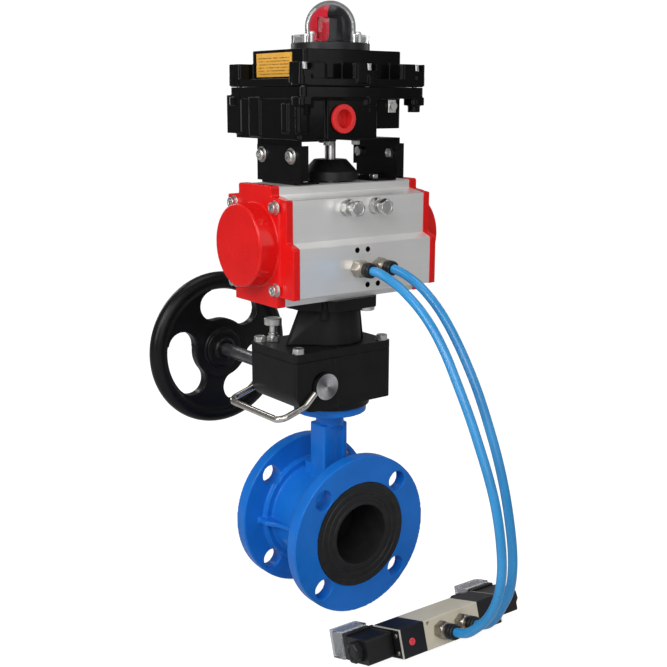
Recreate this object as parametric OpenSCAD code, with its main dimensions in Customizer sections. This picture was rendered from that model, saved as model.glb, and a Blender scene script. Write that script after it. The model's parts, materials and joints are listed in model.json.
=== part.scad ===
// Butterfly valve with a declutchable hand gearbox, a rack-and-pinion rotary
// pneumatic actuator, a limit switch box and a double solenoid valve on two air tubes.
// Origin: centre of the front pipe flange face. -Y leaves the front flange, +Y runs
// along the pipe, +Z is up along the stem, +X is along the actuator's long axis.

/* [Pipe valve] */
// Outer diameter of the two pipe flanges
flange_d = 154; // [152:0.5:158]
// Thickness of each pipe flange
flange_t = 13.3; // [11:0.1:15]
// Distance between the two flange faces
face_to_face = 100; // [96:1:104]
// Bolt circle of the pipe flanges
flange_pcd = 125; // [122:0.5:126]
// Diameter of the flange bolt holes
flange_hole_d = 19; // [15:0.5:19]
// Outer diameter of the rubber seat face
seat_d = 102; // [98:1:103]
// Clear bore of the rubber seat at the disc
bore_d = 52; // [48:0.5:52]
// Radius of the valve stem
stem_r = 6.5; // [5:0.25:6.5]

/* [Gearbox] */
// Top of the gearbox cover
cover_top = 182.5; // [182:0.5:184]
// Teeth of the worm wheel
wheel_teeth = 28; // [28]
// Module of the worm and wheel
wheel_module = 1.75; // [1.75]
// Radius of the handwheel over the rim
handwheel_r = 79.3; // [76:0.1:79.5]
// Radius of the handwheel's rim section
rim_r = 9; // [7:0.5:9]
// Rod radius of the declutch bail
bail_r = 3; // [2.5:0.25:3.5]

/* [Actuator] */
// Half length of the extruded body
body_half = 74.4; // [72:0.2:74.6]
// Height of the cylinder axis
cyl_z = 279.8; // [279:0.2:280]
// Cylinder bore radius
cyl_r = 40; // [39.5:0.1:40]
// Teeth of the output pinion
pinion_teeth = 20; // [20]
// Module of the rack and pinion
pinion_module = 1.5; // [1.5]
// Radius of the round end of each cap
cap_boss_r = 36.9; // [34:0.1:38]

/* [Switch box] */
// Height of the joint between housing and cover
part_z = 416; // [415:0.5:417]
// Radius of the clear dome
dome_r = 22.7; // [22:0.1:23]

/* [Air tubes] */
// Outer radius of the air tubes
tube_r = 4; // [3.5:0.1:4.2]

/* [Hidden] */
$fn = 64;
stem_y = face_to_face / 2;
fy = face_to_face / 2;
// sleeve axis and worm axis (x, z), measured from the stem
sx = -36.8; sz = 150.8; wx = -39.0; wz = 153.4;
// lock pin centre
lp_x = -49.4; lp_y = 23.4;
// switch box centre
bx = -1.5; by = 3.5;
// solenoid valve: local origin, heading and tilt
sol_p = [-21.3, -170.5, -61.1]; sol_yaw = -1.8; sol_tilt = 17.1;
sol_l = 62.4; sol_d = 38.4; sol_h = 26.1;
// air tube routes, from the actuator port to the solenoid valve's port
route_a = [[-12,-78,258.8],[-12,-90,257.5],[-11.5,-112,250],[-11,-136,236.5],[-10,-154,221],[-9.5,-170,202],
  [-9,-183.5,181],[-8.5,-198,157],[-8,-210,134],[-7.5,-222,109],[-7,-230.5,86],[-6.5,-236,62],[-6,-238.5,38],
  [-6,-237,18],[-5.5,-232,2],[-5,-223,-14],[-5,-211,-27.5],[-4.8,-199.5,-37],[-4.8,-187.6,-41.4]];
route_b = [[12,-78,258.8],[12,-92,256],[12.5,-108,250],[13,-122,242],[14,-138,229],[15,-154,211],[15.5,-170,189.5],
  [16,-184,167],[16.5,-196,143],[17,-207,118],[17.5,-216,92],[18,-222.5,66],[18.5,-226.5,42],[18.5,-227.5,22],
  [19,-224.5,4],[19,-217.5,-12],[19.3,-209.5,-26],[19.2,-200,-36],[19.2,-188.4,-41.4]];
dir_end = [0.03, 0.955, -0.294];

// ---- helpers ----
module at_stem() { translate([0, stem_y, 0]) children(); }
module cz(r, z0, z1, x = 0, y = 0) { translate([x, y, z0]) cylinder(r = r, h = z1 - z0); }
module cy(r, y0, y1, x = 0, z = 0) { translate([x, y0, z]) rotate([-90, 0, 0]) cylinder(r = r, h = y1 - y0); }
module cx(r, x0, x1, y = 0, z = 0) { translate([x0, y, z]) rotate([0, 90, 0]) cylinder(r = r, h = x1 - x0); }
module bx3(x0, x1, y0, y1, z0, z1) { translate([x0, y0, z0]) cube([x1 - x0, y1 - y0, z1 - z0]); }
module rr2(x0, x1, y0, y1, r) {
  translate([x0 + r, y0]) square([x1 - x0 - 2 * r, y1 - y0]);
  translate([x0, y0 + r]) square([x1 - x0, y1 - y0 - 2 * r]);
  for (x = [x0 + r, x1 - r], y = [y0 + r, y1 - r]) translate([x, y]) circle(r);
}
module rbox(x0, x1, y0, y1, z0, z1, r) { translate([0, 0, z0]) linear_extrude(z1 - z0) rr2(x0, x1, y0, y1, r); }
module along_y(y0, y1) { translate([0, y1, 0]) rotate([90, 0, 0]) linear_extrude(y1 - y0) children(); }
module along_x(x0, x1) { translate([x0, 0, 0]) rotate([90, 0, 90]) linear_extrude(x1 - x0) children(); }
module hex_z(af, z0, z1, x = 0, y = 0, n = 6) { translate([x, y, z0]) cylinder(r = af / 2 / cos(180 / n), h = z1 - z0, $fn = n); }
module hex_y(af, y0, y1, x = 0, z = 0, n = 6, a = 0) { translate([x, y0, z]) rotate([-90, 0, 0]) rotate(a) cylinder(r = af / 2 / cos(180 / n), h = y1 - y0, $fn = n); }
module hex_x(af, x0, x1, y = 0, z = 0, n = 6) { translate([x0, y, z]) rotate([0, 90, 0]) cylinder(r = af / 2 / cos(180 / n), h = x1 - x0, $fn = n); }
module rod(a, b, r) {
  d = b - a; l = norm(d);
  translate(a) rotate([0, acos(d[2] / l), atan2(d[1], d[0])]) cylinder(r = r, h = l);
}
module at_sol() { at_stem() translate(sol_p) rotate([0, 0, sol_yaw]) rotate([-sol_tilt, 0, 0]) children(); }
module hemi(r, z) { intersection() { translate([0, 0, z]) sphere(r); cz(r + 1, z, z + r + 1); } }
module both_sides() { children(); translate([sol_l, 0, 0]) mirror([1, 0, 0]) children(); }

// ---- gear teeth: half width of an involute tooth at radius r ----
function inv_r(a) = tan(a) - a * PI / 180;
function tooth_w(r, rp, w) = let (rb = rp * cos(20), a = r > rb ? acos(rb / r) : 0)
  r * (w / rp + 2 * (inv_r(20) - inv_r(a)));
function gear_pts(n, m, w) = let (rp = n * m / 2, ro = rp + m, ri = rp - 1.25 * m,
    rs = [ri, rp - 0.6 * m, rp, rp + 0.55 * m, ro])
  [for (k = [0:n - 1]) let (c = k * 360 / n)
    each concat([for (r = rs) [r * cos(c - tooth_w(r, rp, w) / r * 90 / PI), r * sin(c - tooth_w(r, rp, w) / r * 90 / PI)]],
      [for (i = [4:-1:0]) let (r = rs[i]) [r * cos(c + tooth_w(r, rp, w) / r * 90 / PI), r * sin(c + tooth_w(r, rp, w) / r * 90 / PI)]])];

// ---- swept round tube through route points ----
function unit(v) = v / norm(v);
function cr(a, b, c, d, t) = 0.5 * ((2 * b) + (c - a) * t + (2 * a - 5 * b + 4 * c - d) * t * t + (3 * b - a - 3 * c + d) * t * t * t);
function dense(p) = let (n = len(p)) [for (i = [0:n - 2]) each [for (j = [0:1])
    cr(p[max(i - 1, 0)], p[i], p[i + 1], p[min(i + 2, n - 1)], j / 2)], p[n - 1]];
module tube(route, r, d0, d1, sides = 12) {
  p = dense(route); n = len(p);
  t = [for (i = [0:n - 1]) i == 0 ? d0 : i == n - 1 ? d1 : unit(p[i + 1] - p[i - 1])];
  pts = [for (i = [0:n - 1]) let (u = unit(cross(t[i], [1, 0, 0])), v = cross(t[i], u))
    each [for (k = [0:sides - 1]) p[i] + r * (cos(k * 360 / sides) * u + sin(k * 360 / sides) * v)]];
  faces = concat([[for (k = [0:sides - 1]) k]],
    [for (i = [0:n - 2], k = [0:sides - 1]) let (a = i * sides + k, b = i * sides + (k + 1) % sides) [a, a + sides, b + sides, b]],
    [[for (k = [sides - 1:-1:0]) (n - 1) * sides + k]]);
  polyhedron(points = pts, faces = faces);
}

// ---- pipe valve ----
module valve_body() color("#1f6fd0") at_stem() difference() {
  union() {
    for (s = [-1, 1]) cy(flange_d / 2, s > 0 ? fy - flange_t : -fy, s > 0 ? fy : -fy + flange_t);
    for (s = [-1, 1]) cy(54, s > 0 ? fy - flange_t - 5 : -fy + flange_t, s > 0 ? fy - flange_t : -fy + flange_t + 5);
    cy(47, -fy + 5, fy - 5);
    // side ribs between the flanges
    for (m = [0, 1]) mirror([m, 0, 0]) translate([0, 0, -2.5]) linear_extrude(5)
      difference() { translate([-60, -fy + 5]) square([30, 2 * fy - 10]); translate([-88, 0]) circle(38); }
    // neck
    rbox(-15, 13.5, -11, 12.4, 30, 100, 2);
    cz(13.5, 98, 116);
    cz(35, 113.3, 121);
    bx3(-12, -2, 10, 25, 36, 56);
    // lower stem boss
    cz(15, -56, -30);
  }
  cy(33.2, -fy - 1, fy + 1);
  for (s = [-1, 1]) cy(seat_d / 2 + 0.2, s > 0 ? fy - 4.2 : -fy - 1, s > 0 ? fy + 1 : -fy + 4.2);
  cz(8, 0, 122);
  cz(9, 96, 110); cz(9, 44, 58);
  cz(8, -50, 0); cz(11.1, -57, -50);
  // front groove of the neck
  bx3(-1.5, 8, -12, -9.7, 52, 95);
  cx(3.6, 4, 15, -3, 64);
  for (a = [45:90:315]) cy(flange_hole_d / 2, -fy - 1, fy + 1, flange_pcd / 2 * cos(a), flange_pcd / 2 * sin(a));
}
module seat_liner() color("#151515") at_stem() difference() {
  rotate([-90, 0, 0]) rotate_extrude() polygon([[bore_d / 2, -12], [bore_d / 2, 12], [29.5, fy - 12], [29.5, fy + 0.2],
    [31, fy + 0.8], [33, fy + 0.8], [33.6, fy], [37, fy], [37.6, fy + 0.8], [39.4, fy + 0.8], [40, fy], [43.4, fy], [44, fy + 0.8],
    [45.8, fy + 0.8], [46.4, fy], [seat_d / 2, fy], [seat_d / 2, fy - 4], [33, fy - 4], [33, -fy + 4], [seat_d / 2, -fy + 4],
    [seat_d / 2, -fy], [46.4, -fy], [45.8, -fy - 0.8], [44, -fy - 0.8], [43.4, -fy], [40, -fy], [39.4, -fy - 0.8],
    [37.6, -fy - 0.8], [37, -fy], [33.6, -fy], [33, -fy - 0.8], [31, -fy - 0.8], [29.5, -fy - 0.2], [29.5, -fy + 12]]);
  cz(stem_r + 0.08, -40, 40);
}
module shaft_bushes() color("#d8d2b8") at_stem() {
  for (z = [[96, 110], [44, 58]]) difference() { cz(8.95, z[0], z[1]); cz(stem_r + 0.05, z[0] - 1, z[1] + 1); }
  difference() { cz(16.95, 227.5, 238); cz(14.05, 227, 239); }
  difference() { cz(14.95, 321, 331.6); cz(12.05, 320, 332); }
}
module valve_plugs() color("#8a8f94") at_stem() {
  cx(3.5, 8, 14, -3, 64);
  hex_x(9, 13.6, 18, -3, 64);
  difference() { cz(11, -58.5, -50.1); hex_z(8, -60, -54); }
}

// ---- gearbox ----
module gb_outline(r = 4) { rr2(-66.3, 44.7, -37.5, 37.5, r); }
module gearbox_housing() color("#1a1b1c") at_stem() difference() {
  union() {
    intersection() {
      translate([0, 0, 120]) linear_extrude(54.4) gb_outline();
      along_y(-40, 40) union() {
        translate([-46.3, 127]) square([91, 60]);
        translate([-66.3, 147]) square([60, 40]);
        translate([-46.3, 147]) circle(20);
      }
    }
    cz(38, 121.2, 140);
    // raised worm side at the front
    along_y(-38.6, -30) intersection() {
      union() {
        translate([-46.3, 127]) square([91, 55]);
        translate([-66.3, 147]) square([60, 35]);
        translate([-46.3, 147]) circle(20);
      }
      translate([-65.4, 125]) square([44.4, 49.4]);
    }
    bx3(-22.6, -19.4, -39.4, -36, 127, 174.4);
    cy(15.5, -38.9, -35, sx, sz);
  }
  cz(17, 120, 137);
  cz(29, 134.5, 175);
  cy(12.3, -41, -30, sx, sz);
  cy(18.06, -33, 38, sx, sz);
  cy(19.2, -21.5, 21.5, sx, sz);
  cz(2.6, 160, 180, lp_x, lp_y);
  for (x = [-59, 38], y = [-31.5, 31.5]) cz(2.5, 160, 175, x, y);
}
module gearbox_cover() color("#1a1b1c") at_stem() difference() {
  translate([0, 0, 174.5]) linear_extrude(cover_top - 174.5) gb_outline();
  cz(16.5, 170, 190);
  cz(2.6, 170, 190, lp_x, lp_y);
  for (x = [-59, 38], y = [-31.5, 31.5]) cz(3.2, 170, 190, x, y);
}
module gearbox_screws() color("#c9cbcc") at_stem() for (x = [-59, 38], y = [-31.5, 31.5]) {
  cz(2.45, 162, cover_top + 0.5, x, y);
  cz(5.9, cover_top, cover_top + 0.9, x, y);
  hex_z(10, cover_top + 0.9, cover_top + 4.8, x, y);
}
module lock_pin_guide() color("#c9cbcc") at_stem() difference() {
  union() { hex_z(11, cover_top, cover_top + 5.5, lp_x, lp_y); cz(4.4, cover_top + 5.5, cover_top + 8, lp_x, lp_y); }
  cz(2.6, 170, 200, lp_x, lp_y);
}
module lock_pin() color("#d6d7d8") at_stem() {
  cz(2.52, 166.6, 199, lp_x, lp_y);
  cz(3.6, 191.2, 199, lp_x, lp_y);
  cz(8.3, 198.5, 205, lp_x, lp_y);
}
module tower_plate2d() { polygon([[-46, -13], [-24, -39.5], [24, -39.5], [46, -13], [46, 13], [24, 39.5], [-24, 39.5], [-46, 13]]); }
module mounting_tower() color("#202224") at_stem() difference() {
  union() {
    translate([0, 0, 217]) linear_extrude(9.9) tower_plate2d();
    translate([0, 0, cover_top]) cylinder(r1 = 32.2, r2 = 28.5, h = 217.5 - cover_top);
    // drawn-out wedge on the worm side
    hull() {
      translate([0, 0, cover_top]) cylinder(r = 29.5, h = 1, $fn = 32);
      translate([0, 0, 216.5]) cylinder(r = 27.5, h = 1, $fn = 32);
      bx3(-49, -47, -1.2, 3.4, cover_top, cover_top + 1);
      bx3(-33, -31, -1.2, 3.4, 216.5, 217.5);
    }
  }
  cz(16.5, 180, 230);
  for (p = tower_bolt_p) cz(4.2, 200, 230, p[0], p[1]);
  for (p = [tower_bolt_p[1], tower_bolt_p[2], tower_bolt_p[3]]) cz(8.6, cover_top - 1, 217, p[0], p[1]);
  cz(2.8, 216, 228, -30.2, -32);
}
tower_bolt_p = [[-24.75, -24.75], [24.75, -24.75], [-24.75, 24.75], [24.75, 24.75]];
module tower_bolts() color("#c9cbcc") at_stem() {
  for (i = [1:3]) { hex_z(13, 211.8, 217, tower_bolt_p[i][0], tower_bolt_p[i][1]); cz(3.9, 216, 236, tower_bolt_p[i][0], tower_bolt_p[i][1]); }
  cz(3.9, 208, 236, tower_bolt_p[0][0], tower_bolt_p[0][1]);
}

// ---- actuator ----
module body_profile() {
  polygon([[-33, 227], [33, 227], [33, 236.8], [46, 236.8], [46, 320.5], [25.5, 324.4], [25.5, 331], [24, 332],
    [-24, 332], [-25.5, 331], [-25.5, 324.4], [-46, 320.5], [-46, 284.2], [-55.3, 280.6], [-56.3, 279.6],
    [-56.3, 237.6], [-55.5, 236.8], [-33, 236.8]]);
}
module actuator_body() color("#c4c6c8") at_stem() difference() {
  along_x(-body_half, body_half) body_profile();
  cx(cyl_r, -body_half - 1, body_half + 1, 0, cyl_z);
  cz(17, 226, 245); cz(15, 315, 333);
  for (x = [-12, 12]) { cy(6.5, -57, -44, x, 258.8); cy(3, -45, -30, x, 258.8); }
  for (p = [[-12, 274.8], [0, 274.8], [0, 242.8], [12, 242.8]]) cy(2.5, -57, -48, p[0], p[1]);
  for (x = [-16.2, 16.2]) cy(4.05, -47, -18, x, 312);
  for (x = [-24.75, 24.75], y = [-24.75, 24.75]) cz(4, 226, 238, x, y);
  for (s = [-1, 1], y = [-33, 33], z = [243, 314.5]) cx(2.6, s > 0 ? body_half - 16 : -body_half - 1, s > 0 ? body_half + 1 : -body_half + 16, y, z);
  for (x = [-40, 40], y = [-15, 15]) cz(2.1, 321.5, 333, x, y);
}
module cap_profile() {
  polygon([[-34, 226.6], [34, 226.6], [34, 236.4], [46.6, 236.4], [46.6, 321.2], [26, 323.4], [26, 331.4], [24.4, 332.6],
    [-24.4, 332.6], [-26, 331.4], [-26, 323.4], [-46.6, 321.2], [-46.6, 284.6], [-55.6, 281.2], [-56.9, 280],
    [-56.9, 237], [-56.1, 236.4], [-34, 236.4]]);
}
module end_cap() difference() {
  union() {
    along_x(body_half, 81.5) cap_profile();
    along_x(81, 83.2) intersection() { cap_profile(); translate([-37, 220]) square([74, 120]); }
    cx(cap_boss_r, 83, 100.5, 0, cyl_z);
    translate([100.5, 0, cyl_z]) rotate([0, 90, 0]) cylinder(r1 = cap_boss_r, r2 = cap_boss_r - 1.5, h = 1.5);
  }
  cx(31, body_half - 1, 98, 0, cyl_z);
  for (y = [-33, 33], z = [243, 314.5]) cx(3.1, 70, 90, y, z);
}
module left_end_cap() color("#d8201f") at_stem() mirror([1, 0, 0]) end_cap();
module right_end_cap() color("#d8201f") at_stem() end_cap();
module end_cap_screws() color("#c9cbcc") at_stem() for (m = [0, 1]) mirror([m, 0, 0])
  for (y = [-33, 33], z = [243, 314.5]) {
    cx(2.5, 62, 84, y, z);
    difference() { cx(4.9, 83.2, 88.6, y, z); hex_x(5, 85.6, 89, y, z); }
    difference() { cx(6.2, 83.2, 83.9, y, z); cx(3, 83, 84, y, z); }
  }
module stop_bolts() color("#c9cbcc") at_stem() for (x = [-16.2, 16.2]) {
  cy(3.95, -58.5, -21, x, 312);
  hex_y(13, -64.2, -58.5, x, 312);
  difference() { hex_y(13, -53.2, -46, x, 312, a = 15); cy(4.02, -54, -45, x, 312); }
}
module push_fitting() {
  hex_y(14, -66.5, -56.35);
  cy(6.2, -56.4, -47);
  cy(6.9, -70, -66.5);
}
module sol_fit_body() { translate([0, 56.35, 0]) push_fitting(); }
module push_fittings() color("#b9b6a8") {
  at_stem() for (x = [-12, 12]) translate([x, 0, 258.8]) push_fitting();
  at_sol() for (x = [17, 41]) translate([x, 0, 14]) sol_fit_body();
}
module collet() { cy(6.9, -75.5, -70); translate([0, -78, 0]) rotate([-90, 0, 0]) cylinder(r1 = 5.6, r2 = 6.9, h = 2.5); }
module fitting_collets() color("#141414") {
  at_stem() for (x = [-12, 12]) translate([x, 0, 258.8]) collet();
  at_sol() for (x = [17, 41]) translate([x, 56.35, 14]) collet();
}

// ---- switch box brackets ----
module lower_bracket() difference() {
  union() {
    bx3(-58.6, -56.6, -35.5, 32.5, 334, 366);
    bx3(-58.6, -31, -25, 25, 332.1, 334.1);
    bx3(-58.6, -56.6, -25, 25, 332.1, 335);
    bx3(-58.6, -50, -35.5, -33.5, 336, 366);
  }
  for (y = [-15, 15]) cz(2.75, 330, 336, -40, y);
  for (y = [-22, 24]) cx(2.75, -60, -55, y, 357);
}
module lower_brackets() color("#161718") at_stem() for (m = [0, 1]) mirror([m, 0, 0]) lower_bracket();
module upper_bracket(xin, xh) difference() {
  union() {
    bx3(-56.5, -54.5, -32, 35, 345, 371.2);
    bx3(-56.5, xin, -30, 35, 369.2, 371.2);
  }
  for (y = [-22, 24]) cx(2.75, -60, -50, y, 357);
  for (y = [-24, 26]) cz(2.6, 365, 372, xh, y);
}
module upper_brackets() color("#161718") at_stem() {
  upper_bracket(-16, -21);
  mirror([1, 0, 0]) upper_bracket(-6.5, -10.6);
}
module bracket_screws() color("#b9bbbc") at_stem() {
  for (m = [0, 1]) mirror([m, 0, 0]) {
    for (y = [-22, 24]) {
      cx(7.2, -59.7, -58.6, y, 357);
      cx(5.6, -63, -59.7, y, 357);
      cx(2.5, -60, -50.5, y, 357);
      hex_x(8, -54.5, -50.5, y, 357);
    }
    for (y = [-15, 15]) { cz(2, 323, 336, -40, y); hex_z(8, 334.1, 337.6, -40, y); }
  }
  for (p = under_bolts) { hex_z(7, 365.4, 369.2, p[0], p[1]); cz(2.2, 368, 375.5, p[0], p[1]); }
}

// ---- switch box ----
module lug(x, y, z0, z1) { rbox(x - 8, x + 8, y - 8, y + 8, z0, z1, 5); }
// cover lug joined to the raised block, with an open notch round the bolt head
module cover_lug(x, y) {
  sy = y > by ? 1 : -1;
  side = abs(x - bx) > 55;
  x0 = side ? (x > bx ? bx + 40 : x - 7.6) : x - 20;
  x1 = side ? (x > bx ? x + 7.6 : bx - 40) : x + 7.6;
  difference() {
    rbox(x0, x1, sy > 0 ? by + 38 : y - 7.6, sy > 0 ? y + 7.6 : by - 38, 419, 436, 4);
    cz(5.2, 430, 437, x, y);
    bx3(x - 5.2, x + 5.2, sy > 0 ? y : y - 9, sy > 0 ? y + 9 : y, 430, 437);
  }
}
under_bolts = [[-21, -24], [-21, 26], [10.6, -24], [10.6, 26]];
box_lugs = [[bx - 62, by - 49.5], [bx + 62, by - 49.5], [bx - 62, by + 49.5], [bx + 62, by + 49.5], [5, by - 50], [-8, by + 50]];
module switch_housing() color("#0f1010") at_stem() difference() {
  union() {
    rbox(bx - 68.6, bx + 68.6, by - 57.5, by + 57.5, 406, part_z - 0.2, 6);
    for (p = box_lugs) lug(p[0], p[1] , 400, 407);
    rbox(-69.2, 44, -48.5, 54, 380, 407, 5);
    rbox(-69.2, 13, -48.5, 54, 371.3, 381, 5);
    for (p = box_lugs) cz(5.6, 394, part_z - 0.2, p[0], p[1]);
    rbox(-42, 13, -52, -30, 371.3, 407, 1.5);
    rbox(-70.6, -34, 40, 66, 375, 409, 3);
    rbox(-71.4, -60, 8.5, 27.5, 373, 407, 2.5);
    rbox(-71.4, -60, -34.5, -24, 377, 402, 2.5);
    rbox(-71.4, -60, -51, -44, 377, 400, 2.5);
  }
  rbox(-62, 39, -42, 49, 385, 420, 4);
  rbox(-60, 9, -42, 49, 376, 386, 4);
  cz(5.07, 368, 380);
  cy(10, -53, -38, -26, 389);
  for (p = box_lugs) cz(2.4, 398, 420, p[0], p[1]);
  for (p = under_bolts) cz(2.3, 370, 377, p[0], p[1]);
}
module switch_cover() color("#0f1010") at_stem() difference() {
  union() {
    rbox(bx - 68.6, bx + 68.6, by - 57.5, by + 57.5, part_z + 0.2, 422.6, 6);
    rbox(bx - 54.3, bx + 54.3, by - 41, by + 41, 420, 447.5, 4);
    for (p = box_lugs) { cz(5.6, part_z + 0.2, 425, p[0], p[1]); lug(p[0], p[1], 417, 425); cover_lug(p[0], p[1]); }
  }
  rbox(bx - 51, bx + 51, by - 37.5, by + 37.5, 410, 443.5, 3);
  cz(5.07, 440, 450);
  for (p = box_lugs) cz(2.7, 410, 440, p[0], p[1]);
}
module switch_box_bolts() color("#c9cbcc") at_stem() {
  for (p = box_lugs) {
    cz(2.3, 404, 431, p[0], p[1]);
    difference() { cz(4.3, 430, 436, p[0], p[1]); hex_z(4, 433, 437, p[0], p[1]); }
  }
  for (a = [20:90:290]) difference() { cz(2.9, 461.1, 463.6, 29.2 * cos(a), 29.2 * sin(a)); bx3(29.2 * cos(a) - 3, 29.2 * cos(a) + 3, 29.2 * sin(a) - 0.4, 29.2 * sin(a) + 0.4, 462.8, 464); }
  for (a = [20:90:290]) cz(1.5, 450, 461.2, 29.2 * cos(a), 29.2 * sin(a));
}
module conduit_plug() color("#d22a28") at_stem() difference() {
  union() { cy(9.9, -53, -44, -26, 389); cy(12.2, -55.5, -52.05, -26, 389); }
  cy(8, -57, -46, -26, 389);
}
module earth_terminal() color("#b9bbbc") at_stem() {
  rbox(27, 36, -50.1, -48.55, 394, 405, 0.7);
  cy(3.4, -53, -50.1, 31.5, 399.6);
}
module info_label() color("#e5a83a") at_stem() bx3(bx - 54.9, bx - 54.35, -20, 35, 424.5, 444.8);
module dome_ring() color("#121212") at_stem() difference() {
  cz(35.5, 447.6, 454);
  cz(16, 447, 455);
  for (a = [20:90:290]) cz(1.6, 446, 455, 29.2 * cos(a), 29.2 * sin(a));
}
module indicator_dome() color("#dfe6ea", 0.35) at_stem() difference() {
  union() {
    cz(34.9, 454.1, 460.9);
    cz(dome_r, 455, 468.7);
    hemi(dome_r, 468.6);
  }
  cz(dome_r - 2, 454, 468.7);
  hemi(dome_r - 2, 468.6);
  for (a = [20:90:290]) cz(1.6, 450, 462, 29.2 * cos(a), 29.2 * sin(a));
}
module microswitches() color("#3a3f46") at_stem() for (y = [-28, 14]) {
  rbox(-34, -15, y, y + 18, 376.1, 400, 1);
  bx3(-15, -12.6, y + 3, y + 15, 395, 398);
}
module terminal_strip() color("#d9dcd4") at_stem() difference() {
  rbox(14, 36, -36, 40, 385.1, 396, 1);
  for (y = [-32:8:34]) cz(2.2, 390, 397, 20, y);
  for (y = [-32:8:34]) cz(2.2, 390, 397, 30, y);
}

// ---- double solenoid valve, lying on its side ----
module solenoid_body() color("#d9d5c6") at_sol() difference() {
  rotate([90, 0, 90]) linear_extrude(sol_l) rr2(0, sol_d, 0, sol_h, 0.8);
  cx(7, -1, sol_l + 1, 19.2, 13.5);
  for (x = [17, 41]) { cy(6.5, -1, 11, x, 14); cy(3, 10, 16, x, 14); }
  for (x = [17, 31.2, 45.4]) { cy(5.5, 29, 40, x, 13); cy(2.6, 22, 30, x, 13); }
  cy(1.6, -1, 40, 4.6, 23);
}
module pilot_blocks() color("#17191b") at_sol() both_sides() difference() {
  rotate([90, 0, 90]) translate([0, 0, -25.2]) linear_extrude(25.15) rr2(0, sol_d, 0, sol_h, 1.2);
  cy(3.25, -1, 7, -14.9, 12.7);
}
module pilot_plates() color("#c9c5b4") at_sol() both_sides() bx3(-26.8, -25.25, 0.4, sol_d - 0.4, 0.4, sol_h - 0.4);
module coils() color("#1b1c1d") at_sol() both_sides() difference() {
  union() {
    rotate([90, 0, 90]) translate([0, 0, -56]) linear_extrude(27.5) rr2(9.5, 38, 2.4, 24.4, 2);
    cx(8, -28.6, -26.85, 23, 13.4);
    bx3(-27.4, -26.84, 1, 37.6, 1.1, 25);
  }
  cx(4.6, -57, -26, 23, 13.4);
}
module coil_nuts() color("#26282a") at_sol() both_sides() {
  hex_x(17, -63.5, -56.05, 23, 13.4, n = 8);
  cx(4.5, -56.1, -27, 23, 13.4);
}
module connector_bases() color("#2a2c2e") at_sol() both_sides() rbox(-56, -29, 38.1, 45, 3.2, 26, 1);
module connector_covers() color("#c8cdd0", 0.45) at_sol() both_sides() difference() {
  union() { rbox(-57, -28, 45.1, 64, 3, 27.4, 2); }
  rbox(-55, -30, 44, 62, 5, 25.4, 1.5);
  cx(6.6, -31, -27, 54, 15);
}
module connector_glands() color("#17181a") at_sol() both_sides() {
  difference() { union() { cx(6.5, -32, -21, 54, 15); hex_x(13.2, -27.9, -16, 54, 15, n = 8); } cx(3.2, -33, -12, 54, 15); }
}
module left_override() color("#d8323c") at_sol() cy(3.18, -0.5, 4.6, -14.9, 12.7);
module right_override() color("#d8323c") at_sol() cy(3.18, -0.5, 4.6, sol_l + 14.9, 12.7);
module spool() color("#c9cbcc") at_sol() difference() {
  cx(6.95, 4, 54, 19.2, 13.5);
  for (x = [11, 24, 37]) difference() { cx(8, x, x + 7, 19.2, 13.5); cx(4, x - 1, x + 8, 19.2, 13.5); }
}
module tube_a() color("#3d9fe0") at_stem() tube(route_a, tube_r, [0, -1, 0], dir_end);
module tube_b() color("#3d9fe0") at_stem() tube(route_b, tube_r, [0, -1, 0], dir_end);

// ---- drive train ----
module disc() color("#2b2d2f") at_stem() difference() {
  union() { cy(bore_d / 2 - 0.4, -3.5, 3.5); cz(9.5, -22.5, 22.5); }
  cz(stem_r + 0.04, -30, 30);
  for (z = [-13, 13]) cy(2.05, -12, 12, 0, z);
}
module valve_stem() color("#b4b7ba") at_stem() difference() {
  union() { cz(stem_r, -48, 113); bx3(-5.5, 5.5, -5.5, 5.5, 112, 151); }
  for (z = [-13, 13]) cy(2.05, -12, 12, 0, z);
}
module disc_pins() color("#8f9397") at_stem() for (z = [-13, 13]) cy(2, -9.6, 9.6, 0, z);
module worm_wheel() color("#b08a3c") at_stem() difference() {
  union() {
    translate([0, 0, 145]) linear_extrude(16) polygon(gear_pts(wheel_teeth, wheel_module, 2.35));
    cz(16, 137.5, 172);
  }
  bx3(-5.55, 5.55, -5.55, 5.55, 130, 152);
  bx3(-7.1, 7.1, -7.1, 7.1, 151.9, 180);
}
module drive_coupling() color("#9a9ea2") at_stem() {
  bx3(-7, 7, -7, 7, 152.5, 180);
  cz(12.5, 179, 222);
  bx3(-7, 7, -7, 7, 221, 243);
}
module pinion() color("#a4a8ab") at_stem() difference() {
  union() {
    cz(14, 226.4, 257);
    cz(12, 256, 345);
    translate([0, 0, 262]) linear_extrude(36) polygon(gear_pts(pinion_teeth, pinion_module, 2.0));
    intersection() { cz(18.5, 303, 309); bx3(-20, 20, -7, 7, 300, 312); }
  }
  bx3(-7.05, 7.05, -7.05, 7.05, 220, 243.5);
  cz(3.1, 335, 346);
}
module cone_coupler() color("#19191a") at_stem() difference() {
  union() { cz(25, 333.2, 341); translate([0, 0, 341]) cylinder(r1 = 25, r2 = 15, h = 11); }
  cz(12.05, 332, 345.1);
  cz(5.05, 344, 353);
}
module switch_shaft() color("#b9bcbf") at_stem() { cz(5, 345.3, 451); cz(3, 337, 346); }
module switch_cams() color("#c23a30") at_stem() for (z = [389, 395.5]) difference() {
  union() { cz(10.5, z, z + 5.5); intersection() { cz(12, z, z + 5.5); bx3(z > 390 ? 0 : -13, z > 390 ? 13 : 0, -4, 4, z, z + 6); } }
  cz(5.04, z - 1, z + 7);
}
module indicator_rotor() color("#c8282a") at_stem() difference() {
  union() {
    cz(15.5, 451.2, 456);
    cz(19.2, 455.6, 468.7);
    hemi(19.2, 468.6);
  }
  for (a = [45, 225]) rotate([0, 0, a]) translate([9, -9, 458]) cube([14, 18, 18]);
}

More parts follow.
